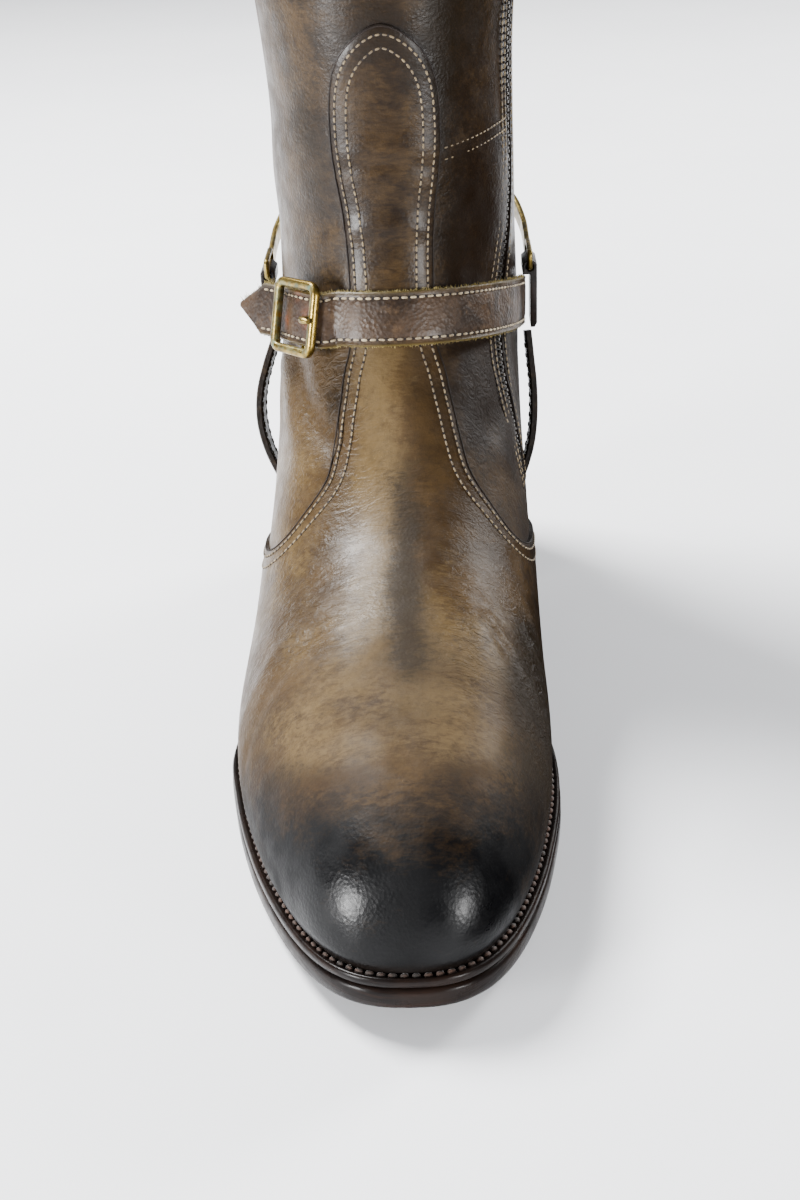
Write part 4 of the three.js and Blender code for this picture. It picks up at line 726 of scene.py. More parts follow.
# Patterns on the upper: signed distances, positive inside
def polygon_distance(px, pz, poly):
    poly = np.asarray(poly, float)
    d2 = np.full(px.shape, 1e18)
    inside = np.zeros(px.shape, bool)
    for (ax, az), (bx, bz) in zip(poly, np.roll(poly, -1, 0)):
        ex, ez = bx - ax, bz - az
        t = np.clip(((px - ax) * ex + (pz - az) * ez) / max(ex * ex + ez * ez, 1e-12), 0, 1)
        d2 = np.minimum(d2, (px - ax - t * ex) ** 2 + (pz - az - t * ez) ** 2)
        cross = (az > pz) != (bz > pz)
        inside ^= cross & (px < ax + ex * (pz - az) / np.where(ez == 0, 1e-12, ez))
    return np.where(inside, 1, -1) * np.sqrt(d2)


def smooth_table(xs, ys, count):
    """Points on a smooth curve through the table's points."""
    stops = [vec(x, y, 0) for x, y in zip(xs, ys)]
    return np.array([catmull(stops, t)[0][:2] for t in np.linspace(0, 1, count)])


def height_at(rise):
    return SEAT + np.asarray(rise) * SHAFT_RISE


TONGUE_CENTRE = float(spline(STATIONS, ROWS[:, 9], 0.6)) * BALL_WIDTH
tongue_edge = smooth_table(np.array(TONGUE_HALF) * BALL_WIDTH, height_at(TONGUE_RISE), 80)
TONGUE = [(TONGUE_CENTRE + h, z) for h, z in tongue_edge] + [(TONGUE_CENTRE - h, z) for h, z in tongue_edge[-2::-1]]
seam_edge = smooth_table(SOLE_TIP + np.array(SEAM_RUN) * OUTSOLE_LENGTH, height_at(SEAM_RISE), 80)
VAMP_SIDE = [(SOLE_TIP - 100, seam_edge[0][1])] + [tuple(p) for p in seam_edge] + [(seam_edge[-1][0], -30), (SOLE_TIP - 100, -30)]
zip_path = smooth_table(np.array(ZIP_BACK) * OUTSOLE_LENGTH, height_at(ZIP_RISE), 120)


def vamp_field(p):
    tongue = polygon_distance(p[:, 0], p[:, 2], TONGUE)
    tongue = np.where(p[:, 1] < ANKLE_Y - BALL_WIDTH * 0.25, tongue, -1e3)
    side = polygon_distance(p[:, 1], p[:, 2], VAMP_SIDE)
    k = 14.0
    h = np.clip(0.5 + 0.5 * (side - tongue) / k, 0, 1)
    return side * h + tongue * (1 - h) + k * h * (1 - h)


def zip_field(p):
    d = np.full(len(p), 1e9)
    for a, b in zip(zip_path[:-1], zip_path[1:]):
        e = b - a
        t = np.clip(((p[:, 1] - a[0]) * e[0] + (p[:, 2] - a[1]) * e[1]) / max(e @ e, 1e-12), 0, 1)
        d = np.minimum(d, np.hypot(p[:, 1] - a[0] - t * e[0], p[:, 2] - a[1] - t * e[1]))
    return np.where(p[:, 0] > 10, ZIP_SLOT - d, -50)


def line_distance(p, line):
    d = np.full(len(p), 1e9)
    line = [np.asarray(q, float) for q in line]
    for a, b in zip(line[:-1], line[1:]):
        e = b - a
        t = np.clip((p - a) @ e / max(e @ e, 1e-12), 0, 1)
        d = np.minimum(d, np.linalg.norm(p - a - t[:, None] * e, axis=1))
    return d


# Creases: points in mm on the face, half-width, depth (a trough is negative)
CREASES = [
    ([(-36, -64, 111), (-31.5, -80, 100), (-27, -92, 94), (-22, -100, 91)], 4.5, -1.5),
    ([(-39, -58, 101), (-35, -76, 92), (-30, -90, 85)], 6.0, 1.3),
    ([(-37, -66, 118), (-33, -70, 113)], 4.0, 1.0),
    ([(38, -62, 104), (34, -78, 97), (28, -90, 92)], 5.0, -1.1),
    ([(38, -64, 92), (36, -80, 86), (31, -92, 82)], 5.0, 0.9),
    ([(-10, -200, 57), (0, -199, 58), (9, -202, 57)], 1.3, -0.35),
    ([(24, -160, 58), (31, -170, 50), (36, -182, 38)], 2.6, -0.6),
    ([(20, -150, 62), (30, -158, 54), (37, -166, 40)], 2.6, -0.5),
    ([(22, -155, 60), (31, -164, 52), (37, -174, 38)], 2.4, 0.5),
    ([(-26, -160, 58), (-38, -170, 46), (-46, -180, 30)], 3.0, -0.5),
    ([(-24, -150, 60), (-38, -158, 48), (-46, -166, 30)], 3.0, 0.45),
    ([(-30, -60, 232), (-34, -40, 224), (-36, -18, 220)], 9.0, -1.2),
    ([(34, -60, 250), (40, -36, 244)], 9.0, -0.9),
    ([(-10, 30, 178), (10, 30, 174), (24, 18, 172)], 8.0, -1.2),
    ([(-26, 20, 152), (-10, 28, 146), (10, 28, 148)], 7.0, -1.2),
]


def make_upper():
    rows, columns = ((330, 104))
    grid, heel = skin_grid(rows, columns, 0.0)
    normals = grid_normals(grid)
    if normals[rows // 3, columns][2] < 0:
        normals = -normals
    r, c = grid.shape[:2]
    p, n = grid.reshape(-1, 3), normals.reshape(-1, 3)
    shift = np.zeros(len(p))
    for line, width, depth in CREASES:
        d = line_distance(p, line)
        shift += depth * np.exp(-(d / width) ** 2)
    shift += 0.35 * np.sin(p[:, 2] / 17 + p[:, 0] / 13) * np.sin(p[:, 1] / 19 + 1.3) * smoothstep(p[:, 2], 70, 140)
    foot = p[:, 2] - underside(p[:, 1]) - FEATHER_UP
    shift *= smoothstep(foot, 1.0, 9.0)
    p = p + n * shift[:, None]
    tris = []
    for i in range(r - 1):
        for j in range(c - 1):
            a, b, d, e = i * c + j, i * c + j + 1, (i + 1) * c + j + 1, (i + 1) * c + j
            if i == 0:
                tris.append((a, d, e))
            elif (i + j) % 2:
                tris += [(a, b, d), (a, d, e)]
            else:
                tris += [(a, b, e), (b, d, e)]
    back_seam = {(i * c + c - 1): i * c for i in range(heel + 1, r)}
    tris = [tuple(back_seam.get(v, 0 if v < c else v) for v in t) for t in tris]
    tris = [t for t in tris if len(set(t)) == 3]
    points, norms = list(p), list(n)
    fields = [list(vamp_field(p)), list(zip_field(p))]

    def split(k):
        nonlocal tris
        f, made, out = fields[k], {}, []

        def middle(a, b):
            key = (min(a, b), max(a, b))
            if key not in made:
                t = f[a] / (f[a] - f[b])
                made[key] = len(points)
                points.append(points[a] + (points[b] - points[a]) * t)
                norms.append(unit(norms[a] + (norms[b] - norms[a]) * t))
                for q, g in enumerate(fields):
                    g.append(0.0 if q == k else g[a] + (g[b] - g[a]) * t)
            return made[key]
        for i, v in enumerate(f):
            if abs(v) < 0.12:
                f[i] = 0.0
        for t in tris:
            s = [int(f[v] > 0) - int(f[v] < 0) for v in t]
            if 1 not in s or -1 not in s:
                out.append(t)
                continue
            if 0 in s:
                z = s.index(0)
                a, b, d = t[z], t[(z + 1) % 3], t[(z + 2) % 3]
                m = middle(b, d)
                out += [(a, b, m), (a, m, d)]
                continue
            lone = s.index(1) if s.count(1) == 1 else s.index(-1)
            a, b, d = t[lone], t[(lone + 1) % 3], t[(lone + 2) % 3]
            m1, m2 = middle(a, b), middle(a, d)
            out += [(a, m1, m2), (m1, b, d), (m1, d, m2)]
        tris = out
    split(0)
    split(1)
    f0, f1 = (np.array(f) for f in fields)
    region = [(f0[list(t)].sum() > 0, f1[list(t)].sum() > 0) for t in tris]
    ids, verts, base = {}, [], []

    def out_vertex(v, reg):
        key = (v, reg)
        if key not in ids:
            lift = 0.0
            if reg[0]:
                lift = VAMP_RISE - 0.35 * math.exp(-(f0[v] / 0.9) ** 2)
            if reg[1]:
                lift = -1.8
            ids[key] = len(verts)
            verts.append(points[v] + norms[v] * lift)
            base.append(v)
        return ids[key]
    shape = Shape()
    faces = [tuple(out_vertex(v, reg) for v in t) for t, reg in zip(tris, region)]
    edges = {}
    contour = []
    for t, reg in zip(tris, region):
        for a, b in ((t[0], t[1]), (t[1], t[2]), (t[2], t[0])):
            key = (min(a, b), max(a, b))
            if key in edges and edges[key] != reg:
                other = edges[key]
                faces.append((out_vertex(b, reg), out_vertex(a, reg), out_vertex(a, other), out_vertex(b, other)))
                if reg[0] != other[0]:
                    contour.append(key)
            edges.setdefault(key, reg)
    outer_faces = len(faces)
    # inner face, coarser, and the rims that join the two
    inner, inner_heel = skin_grid(rows // 3, columns // 3, -UPPER_WALL)
    ir, ic = inner.shape[:2]
    start = len(verts)
    verts += list(inner.reshape(-1, 3))
    base += [0] * (ir * ic)
    seam = {(i * ic + ic - 1): i * ic for i in range(inner_heel + 1, ir)}
    for i in range(ir - 1):
        for j in range(ic - 1):
            q = [i * ic + j, (i + 1) * ic + j, (i + 1) * ic + j + 1, i * ic + j + 1]
            q = [seam.get(v, 0 if v < ic else v) for v in q]
            q = [v for k, v in enumerate(q) if v not in q[:k]]
            if len(q) > 2:
                faces.append(tuple(v + start for v in q))
    inner_faces = len(faces)
    for side in (0, c - 1):
        a = [points[i * c + side] for i in range(heel + 1)]
        reg = [((i * c + side), f0[i * c + side] > 0) for i in range(heel + 1)]
        b = [inner[i][0 if side == 0 else -1] for i in range(inner_heel + 1)]
        rim(verts, faces, base, a, [out_vertex(0 if v < c else v, (bool(g), False)) for v, g in reg], b,
            [start + i * ic + (0 if side == 0 else ic - 1) for i in range(inner_heel + 1)])
    top = [(r - 1) * c + j for j in range(c)]
    outer_ids = []
    for v in top:
        v = back_seam.get(v, v)
        outer_ids.append(ids.get((v, (False, False)), ids.get((v, (False, True)), ids.get((v, (True, False)), 0))))
    rim(verts, faces, base, [verts[v] for v in outer_ids], outer_ids, list(inner[-1]),
        [start + seam.get((ir - 1) * ic + j, (ir - 1) * ic + j) for j in range(ic)])
    mats = [0] * outer_faces + [1] * (inner_faces - outer_faces) + [0] * (len(faces) - inner_faces)
    obj = new_object("upper_skin", verts, faces, [LEATHER, LINING], slot="upper_leather", replaces=("upper",), face_materials=mats)
    paint_upper(obj, np.array(verts), f0[np.array(base)], f1[np.array(base)])
    return chain(contour, points, norms)


def rim(verts, faces, base, a_points, a_ids, b_points, b_ids):
    """Joins two polylines of different counts with triangles, walking along both."""
    i = j = 0
    while i < len(a_ids) - 1 or j < len(b_ids) - 1:
        go_a = j == len(b_ids) - 1
        if not go_a and i < len(a_ids) - 1:
            go_a = np.linalg.norm(a_points[i + 1] - b_points[j]) <= np.linalg.norm(a_points[i] - b_points[j + 1])
        if go_a:
            if len({a_ids[i], a_ids[i + 1], b_ids[j]}) == 3:
                faces.append((a_ids[i], a_ids[i + 1], b_ids[j]))
            i += 1
        else:
            if len({a_ids[i], b_ids[j + 1], b_ids[j]}) == 3:
                faces.append((a_ids[i], b_ids[j + 1], b_ids[j]))
            j += 1


def chain(pairs, points, norms):
    """Contour edges joined into polylines of (points, normals), longest first."""
    near = {}
    for a, b in set(pairs):
        near.setdefault(a, []).append(b)
        near.setdefault(b, []).append(a)
    lines, seen = [], set()
    for start in sorted(near, key=lambda v: len(near[v])):
        if start in seen:
            continue
        line, v = [start], start
        seen.add(start)
        while True:
            step = [w for w in near[v] if w not in seen]
            if not step:
                break
            v = step[0]
            seen.add(v)
            line.append(v)
        if len(line) > 8:
            lines.append((np.array([points[v] for v in line]), np.array([norms[v] for v in line])))
    return sorted(lines, key=lambda l: -len(l[0]))


def paint_upper(obj, p, vamp, slot):
    x, y, z = p[:, 0], p[:, 1], p[:, 2]
    foot = z - underside(y) - FEATHER_UP

    def spot(px, py, pz, rx, ry, rz):
        return np.exp(-((x - px) / rx) ** 2 - ((y - py) / ry) ** 2 - ((z - pz) / rz) ** 2)

    front = smoothstep(y, -20, -45)
    toe = smoothstep(-229 + 0.020 * x**2 - y, -17, 17)
    # Painted shade: the toe mask is also laid low on the inside face of the vamp; below, the front is darker towards
    # the welt
    toe = np.maximum(toe, 0.8 * smoothstep(foot, 20, 3) * smoothstep(y, -110, -190) * (x > 0))
    toe = np.maximum(toe, 0.45 * smoothstep(foot, 12, 2) * smoothstep(y, -120, -200))
    umber_and_painted_shade = 0.95 * np.exp(-((x + 0.5) / 6.5) ** 2) * smoothstep(y, -200, -156) * smoothstep(z, 102, 74) * front
    # Painted shade: the low inside face of the vamp
    umber_and_painted_shade += 1.1 * smoothstep(x, 15, 33) * smoothstep(y, -116, -150) * smoothstep(z, 64, 48)
    umber_and_painted_shade += 0.5 * spot(4, -180, 52, 16, 12, 20) + 0.45 * spot(-2, -201, 57, 12, 7, 9)
    umber_and_painted_shade += 0.75 * spot(-27, -66, 172, 11, 20, 26) + 0.8 * spot(-30, -66, 134, 9, 16, 8) + 0.7 * spot(-22, -90, 99, 7, 9, 8)
    umber_and_painted_shade += 0.55 * smoothstep(z, 176, 215) * (1 - 0.6 * np.exp(-((x + 20) / 10) ** 2)) * front
    umber_and_painted_shade += 0.6 * np.exp(-(abs(x - 14) / 6) ** 2) * smoothstep(z, 118, 150) * front
    # Brown: painted shade over the inside face (x > 0), strongest low down; also a darker band across the front at
    # strap height, and darker towards the welt and the back
    brown_and_painted_shade = (0.85 - 0.5 * smoothstep(z, 140, 170)) * smoothstep(x, 6, 24) * smoothstep(z, 62, 100) * (vamp < 2) + 0.62 * smoothstep(z, 104, 140) * smoothstep(x, -36, -16) * smoothstep(x, 26, 12)
    brown_and_painted_shade += 0.3 * smoothstep(x, 8, 26) * smoothstep(z, 62, 100) + 0.9 * smoothstep(x, 26, 44) * smoothstep(z, 100, 80)
    brown_and_painted_shade += 0.5 * smoothstep(foot, 14, 3) + 0.45 * smoothstep(y, -60, -10)
    tan = 0.6 * smoothstep(y, -228, -200) * smoothstep(y, -120, -170) * (1 - 0.6 * smoothstep(abs(x), 26, 42))
    # Painted light: a light band left of the instep's centre, where the lamps' highlight falls, and the low outside
    # face, lightened as if lit
    tan += 1.0 * np.exp(-((x + 8) / 9) ** 2) * smoothstep(z, 60, 80) * (vamp > 0) * smoothstep(z, 150, 110)
    tan += 0.5 * smoothstep(x, -16, -30) * smoothstep(z, 112, 92) * smoothstep(y, -150, -120)
    # Darker along the vamp's edge, around the zip slot and where the upper meets the welt: edge paint plus painted
    # shade at the step, in the slot and at the join
    edge = 0.55 * np.exp(-(vamp / 0.45) ** 2) + 0.2 * np.exp(-(vamp / 2.5) ** 2)
    edge += 0.8 * np.exp(-((slot + 0.2) / 0.8) ** 2) + 0.6 * smoothstep(foot, 2.6, 0.4)
    wrinkle = np.exp(-((y + 166) / 24) ** 2) * smoothstep(x, 2, 20) + 0.45 * np.exp(-((y + 162) / 26) ** 2) * smoothstep(x, -4, -24)
    wrinkle += 0.5 * np.exp(-((z - 100) / 16) ** 2) * smoothstep(abs(x), 10, 26) * (y < -50) + 0.1 * smoothstep(y, -215, -190)
    matte = smoothstep(y, -238, -220) * smoothstep(y, -160, -180) + 0.8 * np.exp(-((x + 0.5) / 6) ** 2) * smoothstep(z, 112, 92) * front
    matte += 0.8 * smoothstep(x, 10, 22) * (vamp < 1) * smoothstep(z, 124, 112)
    for name, v in (("matte", matte), ("toe", toe), ("umber_and_painted_shade", umber_and_painted_shade), ("brown_and_painted_shade", brown_and_painted_shade), ("tan", tan), ("edge", edge), ("wrinkle", wrinkle)):
        point_value(obj, name, np.clip(v, 0, 1))


contours = make_upper()


# Seams on the upper
def lift_to_skin(line, normals, across, lift):
    """A line moved sideways over the leather by across (towards the pattern's inside) and lifted off it."""
    t = np.gradient(line, axis=0)
    t /= np.linalg.norm(t, axis=1, keepdims=True)
    b = np.cross(normals, t)
    if vamp_field(line + b * 2.0).mean() < vamp_field(line - b * 2.0).mean():
        b = -b
    out, ns = [], []
    for q, n in zip(line + b * across, normals):
        hitp, hn, _, _ = FACE.find_nearest(Vector(q))
        hn = np.array(hn)
        hn = hn if hn @ n > 0 else -hn
        out.append(np.array(hitp) + hn * lift)
        ns.append(hn)
    return np.array(out), np.array(ns)


def smooth_line(line, normals, spacing=1.2, passes=6):
    p, n = resample(line, spacing, normals)
    for _ in range(passes):
        p[1:-1] = (p[:-2] + 2 * p[1:-1] + p[2:]) / 4
        n[1:-1] = (n[:-2] + 2 * n[1:-1] + n[2:]) / 4
    return p, n / np.linalg.norm(n, axis=1, keepdims=True)


seams = Shape()
for line, normals in contours[:2]:
    line, normals = smooth_line(line, normals)
    for k, inset in enumerate((2.1, 5.6)):
        p, n = lift_to_skin(line, normals, inset, VAMP_RISE + 0.1)
        p, n = smooth_line(p, n, 1.0, 3)
        stitch_row(seams, p, n, 2.1, 1.55, 0.62, 0.34, hole=1, seed=11 + k)
    # A thin dark cord along the vamp's edge: edge paint plus painted shade under the step
    p, n = lift_to_skin(line, normals, 0.15, VAMP_RISE - 0.25)
    frames = [(q, m, unit(np.cross(m, t)), 0.0) for q, m, t in zip(p, n, np.gradient(p, axis=0))]
    sweep(seams, frames, lambda h: round_profile(0.2, 0.22, 6), mat=1)


def side_line(points, offset):
    """Points (y, z) on the inside face, moved across by offset, with their normals."""
    pts = np.asarray(points, float)
    t = np.gradient(pts, axis=0)
    t /= np.linalg.norm(t, axis=1, keepdims=True)
    pts = pts + np.stack([-t[:, 1], t[:, 0]], -1) * offset
    out = [side_hit(1, y, z) for y, z in pts if z < BOOT_HEIGHT - 1]
    out = [(p, n) for p, n in out if p is not None]
    return np.array([p for p, _ in out]), np.array([n for _, n in out])


for k, offset in enumerate((5.2, 8.4, -5.2)):
    p, n = side_line(zip_path, offset)
    keep = vamp_field(p) < 0.5
    p, n = smooth_line(p, n, 1.5, 2)
    p = p + n * (0.1 + VAMP_RISE * (vamp_field(p) > 0))[:, None]
    stitch_row(seams, p, n, 2.1, 1.55, 0.62, 0.34, hole=1, seed=21 + k)
for k, lift in enumerate((0.0, 3.3)):
    p = [front_hit(x, 166.5 + 0.11 * x + lift) for x in np.linspace(13.5, 30, 24)]
    q = [side_hit(1, y, 169.8 + lift) for y in np.linspace(-56, -46.5, 8)]
    both = [s for s in p if s[0] is not None and s[1] @ s[1] > 0] + q
    line, normals = smooth_line(np.array([s[0] for s in both]), np.array([s[1] for s in both]), 1.5, 6)
    stitch_row(seams, line + normals * 0.1, normals, 2.1, 1.55, 0.62, 0.34, hole=1, seed=31 + k)
collar = np.array([wall_point(turn, BOOT_HEIGHT - 6) for turn in np.linspace(-179, 179, 200)])
collar_n = np.array([unit(vec(q[0], q[1] - ANKLE_Y, 0)) for q in collar])
stitch_row(seams, collar + collar_n * 0.1, collar_n, 2.1, 1.55, 0.62, 0.34, hole=1, seed=41)
seams.make("upper_seams", [TAN_THREAD, HOLE], slot="upper_leather")


# Sole, welt, heel, insole
def sole_loop(toe_inset, heel_inset, up, count=150):
    run = (1 - np.cos(np.linspace(0, np.pi, count))) / 2
    y1, inside = outline(run, 1, toe_inset, heel_inset)
    y2, outside = outline(run, -1, toe_inset, heel_inset)
    z = underside(y1) + up
    return np.r_[np.c_[inside, y1, z], np.c_[-outside, y2, z][::-1][1:-1]]


def plate(shape, loops, count, mat=0):
    """Stacked loops, with strips across the bottom and the top."""
    shape.rows(loops, caps=False, mat=mat)
    n = len(loops[0])
    first = len(shape.verts) - n * len(loops)
    for start in (first, first + n * (len(loops) - 1)):
        for i in range(count - 1):
            a, b = start + i, start + i + 1
            e, f = start + (n - i) % n, start + (n - i - 1) % n
            face = [v for k, v in enumerate((a, b, f, e)) if v not in (a, b, f, e)[:k]]
            if len(face) > 2:
                shape.faces.append(tuple(face))
                shape.mats.append(mat)


outsole = Shape()
plate(outsole, [sole_loop(i, i, up) for i, up in (
    (9, 0.0), (2.2, 0.0), (1.0, 0.22), (0.35, 0.75), (0.0, 1.6), (0.0, 3.2), (0.05, 4.8), (0.3, 5.7), (0.9, 6.25), (1.8, 6.5), (9, 6.5))], 150)
outsole.make("outsole_leather", [SOLE], slot="sole_leather", replaces=("outsole",), sharp=60)

LEDGE_SHARE = HEEL_LEDGE / WELT_LEDGE
WELT_PROFILE = [(6.9, 6.9), (0.7, 6.8), (0.3, 7.2), (0.3, 8.5), (0.5, 9.1), (0.95, 9.45), (1.35, 9.5), (1.8, 9.25),
                (2.3, 8.95), (2.9, 8.95), (3.3, 9.2), (3.8, 9.5), (4.4, 9.72), (5.2, 9.8), (6.9, 9.8)]
welt = Shape()
welt.rows([sole_loop(i, i * LEDGE_SHARE if i > 1 else i * 0.9, up) for i, up in WELT_PROFILE], closed_loop=True)
for inset, up, mat, pitch, size, seed in ((2.6, 9.15, 1, 2.9, (2.3, 1.5, 0.95), 51), (3.75, 9.62, 2, 3.0, (0.9, 0.7, 0.4), 52)):
    loop = sole_loop(inset, inset * LEDGE_SHARE, up, 300)
    loop = np.r_[loop, loop[:1]]
    stitch_row(welt, loop, np.tile(vec(0, 0, 1), (len(loop), 1)), pitch, *size, thread=mat, seed=seed)
welt.make("welt_ring", [SOLE, RUST, PALE], slot="sole_leather", replaces=("welt",), sharp=60)


def heel_loop(z, extra, count=60):
    lean = 1 - z / HEEL_HEIGHT
    side_inset, back_inset = HEEL_SIDE_RAKE * lean + extra, HEEL_BACK_RAKE * lean + extra
    breast = (SOLE_BACK - HEEL_LENGTH - HEEL_BACK_RAKE - SOLE_TIP) / OUTSOLE_LENGTH
    run = breast + (1 - breast) * (1 - np.cos(np.linspace(0, np.pi, count))) / 2
    share = (run - breast) / (1 - breast)
    front = -HEEL_LENGTH / 2 + extra
    y = front + (SOLE_BACK - back_inset - front) * share
    half = {s: outline(run, s, 0, 0)[1] * (1 - side_inset / (BALL_WIDTH * 0.35)) for s in (1, -1)}
    ring = np.r_[np.c_[half[1], y, 0 * y + z], np.c_[-half[-1], y, 0 * y + z][::-1][1:]]
    return ring


def heel_plate(shape, levels):
    loops = [heel_loop(z, e) for z, e in levels]
    shape.rows(loops, caps=True)


stack = Shape()
levels = []
edges = np.linspace(HEEL_LIFT + GAP, HEEL_HEIGHT - GAP, 5)
for low, high in zip(edges[:-1], edges[1:]):
    levels += [(low, 0.35), (low + 0.25, 0.06), (low + 0.7, 0.0), (high - 0.7, 0.0), (high - 0.25, 0.06), (high, 0.35)]
heel_plate(stack, [(edges[0], 1.5)] + levels + [(edges[-1], 1.5)])
stack.make("heel_layers", [HEEL], slot="heel_leather", replaces=("heel_stack",), sharp=35)
lift = Shape()
heel_plate(lift, [(0, 1.2), (0.12, 0.5), (0.6, 0.1), (1.2, 0), (5.4, 0), (5.85, 0.15), (6.0, 0.6)])
lift.make("heel_rubber", [RUBBER], slot="heel_rubber", replaces=("heel_lift",), sharp=35)

insole = Shape()
INSET = UPPER_WALL + 2.2
plate(insole, [sole_loop(WELT_LEDGE + INSET + i, HEEL_LEDGE + INSET + i, up) for i, up in (
    (0, OUTSOLE_THICKNESS + 0.6), (0, 11.6), (0.4, 12.3), (1.4, 12.6))], 150)
insole.make("insole_sock", [INSOLE], slot="insole_leather", replaces=("insole",), sharp=60)


# Harness
def strap_height(y):
    return STRAP_HEIGHT + STRAP_SLOPE * min(STRAP_SLOPE_FROM - y, 20)


def strap_stop(turn, lift_off, half):
    z = STRAP_HEIGHT
    for _ in range(4):
        z = strap_height(wall_point(turn, z)[1])
    low, high, middle = (wall_point(turn, z + d) for d in (-half, half, 0))
    across = unit(high - low)
    around = unit(wall_point(turn + 2, z) - wall_point(turn - 2, z))
    normal = unit(np.cross(around, across))
    bulge = max((middle - low) @ normal, 0)
    return (low + high) / 2 + normal * (bulge + lift_off), across, half, around


def stop(turn, lift_off, half):
    return strap_stop(turn, lift_off, half)[:3]


STANDOFF = 2 * GAP
BILLET_LIFT = 2 * GAP + BILLET_THICKNESS / 2
CENTRE_BAR_LIFT = BILLET_LIFT + BILLET_THICKNESS / 2 + GAP + CENTRE_BAR / 2
STRAP_OVER = CENTRE_BAR_LIFT + CENTRE_BAR / 2 + GAP + STRAP_THICKNESS / 2
STRAP_UNDER = BILLET_LIFT + BILLET_THICKNESS / 2 + 2 * GAP + STRAP_THICKNESS / 2
FRAME_LIFT = STRAP_UNDER + STRAP_THICKNESS / 2 + 3 * GAP + BUCKLE_BAR / 2
END_BAR = BUCKLE_LENGTH / 2 - BUCKLE_BAR / 2
spot, spot_across, _, spot_around = strap_stop(BUCKLE_AZIMUTH, 0, STRAP_WIDTH / 2)
B_DOWN = -spot_across
B_ALONG = unit(-spot_around - B_DOWN * (-spot_around @ B_DOWN))
B_OUT = np.cross(B_ALONG, B_DOWN)


def on_buckle(along, out, down=0.0):
    return spot + B_ALONG * along + B_DOWN * down + B_OUT * out


def edge_stitches(shape, frames, thickness, inset, start, end, seed, thread_mat=1, hole_mat=2, pitch=2.7):
    for k, sign in enumerate((1, -1)):
        pts = np.array([c + n * (thickness / 2 + 0.02) + a * sign * (h - inset) for c, n, a, h in frames[start:end]])
        ns = np.array([f[1] for f in frames[start:end]])
        stitch_row(shape, pts, ns, pitch, 1.95, 0.72, 0.4, thread=thread_mat, hole=hole_mat, seed=seed + k)


def fibres(shape, points, outs, ups, count, length, mat, seed):
    """Short torn fibres standing off a raw edge."""
    rng = np.random.default_rng(seed)
    for _ in range(count):
        i = rng.integers(0, len(points) - 1)
        p = points[i] + (points[i + 1] - points[i]) * rng.random() + outs[i] * rng.uniform(-1.0, 1.0)
        d = unit(ups[i] + rng.normal(0, 0.7, 3))
        s = unit(np.cross(d, outs[i]) + rng.normal(0, 0.2, 3)) * rng.uniform(0.06, 0.12)
        tip = p + d * length * rng.uniform(0.4, 1.0) + rng.normal(0, 0.15, 3)
        w = unit(np.cross(s, d)) * np.linalg.norm(s)
        shape.rows([[p + s, p + w, p - s], [tip + s * 0.3, tip + w * 0.3, tip - s * 0.3]], mat=mat)


half = STRAP_WIDTH / 2
tongue_lift = lambda turn: VAMP_RISE * (1 - float(smoothstep(abs(turn), 22, 34)))
stops = [stop(t, STANDOFF + STRAP_THICKNESS / 2 + tongue_lift(t), half) for t in (TAB_TURN, 84, 70, 56, 42, 28, 14, 0, -10, -19)]
for along, out, wide in ((-END_BAR, STRAP_UNDER, half), (0, STRAP_OVER, half), (END_BAR, STRAP_UNDER, half),
                         (END_BAR + STRAP_TAIL * 0.35, STRAP_UNDER, half), (END_BAR + STRAP_TAIL * 0.55, STRAP_UNDER + 0.5, half),
                         (END_BAR + STRAP_TAIL, STRAP_UNDER + 2, half * 0.12)):
    stops.append((on_buckle(along, out), spot_across, wide))
strap_frames = frames_through(stops, 220)
front = Shape()
sweep(front, strap_frames, lambda h: strap_profile(h, STRAP_THICKNESS, min(0.7, h * 0.5), groove=2.0 if h > 6 else None))
edge_stitches(front, strap_frames, STRAP_THICKNESS, 2.0, 6, 205, 61)
tops = np.array([c + a * (h - 0.1) for c, n, a, h in strap_frames])
fibres(front, tops, [f[1] for f in strap_frames], [f[2] for f in strap_frames], 1500, 0.9, 3, 71)
fibres(front, tops[-34:], [f[1] for f in strap_frames[-34:]], [f[2] for f in strap_frames[-34:]], 60, 2.2, 3, 73)
bottoms = np.array([c - a * (h - 0.1) for c, n, a, h in strap_frames])
fibres(front, bottoms, [f[1] for f in strap_frames], [-f[2] for f in strap_frames], 500, 0.7, 3, 72)
strap = front.make("front_strap_leather", [STRAP, CREAM, HOLE, FIBRE], slot="strap_leather", replaces=("front_strap",))
edge_tree = KDTree(len(strap_frames))
for i, f in enumerate(strap_frames):
    edge_tree.insert(Vector(f[0]), i)
edge_tree.balance()


def strap_edge(obj, frames, tree):
    values = []
    for v in obj.data.vertices:
        q = np.array(v.co) / MM
        _, i, _ = tree.find(Vector(q))
        c, n, a, h = frames[i]
        out = abs((q - c) @ a) / max(h, 0.5)
        values.append(float(smoothstep(out, 0.88, 1.0)) * 0.8)
    point_value(obj, "edge", values)


strap_edge(strap, strap_frames, edge_tree)
worn_at = [(on_buckle(-END_BAR * 0.55, STRAP_UNDER + 1), 3.2), (on_buckle(END_BAR * 0.7, STRAP_OVER, 1.5), 2.0), (on_buckle(0, STRAP_OVER, -7), 2.0)]
point_value(strap, "worn", [max(math.exp(-(np.linalg.norm(np.array(v.co) / MM - c) / r) ** 2) for c, r in worn_at) for v in strap.data.vertices])

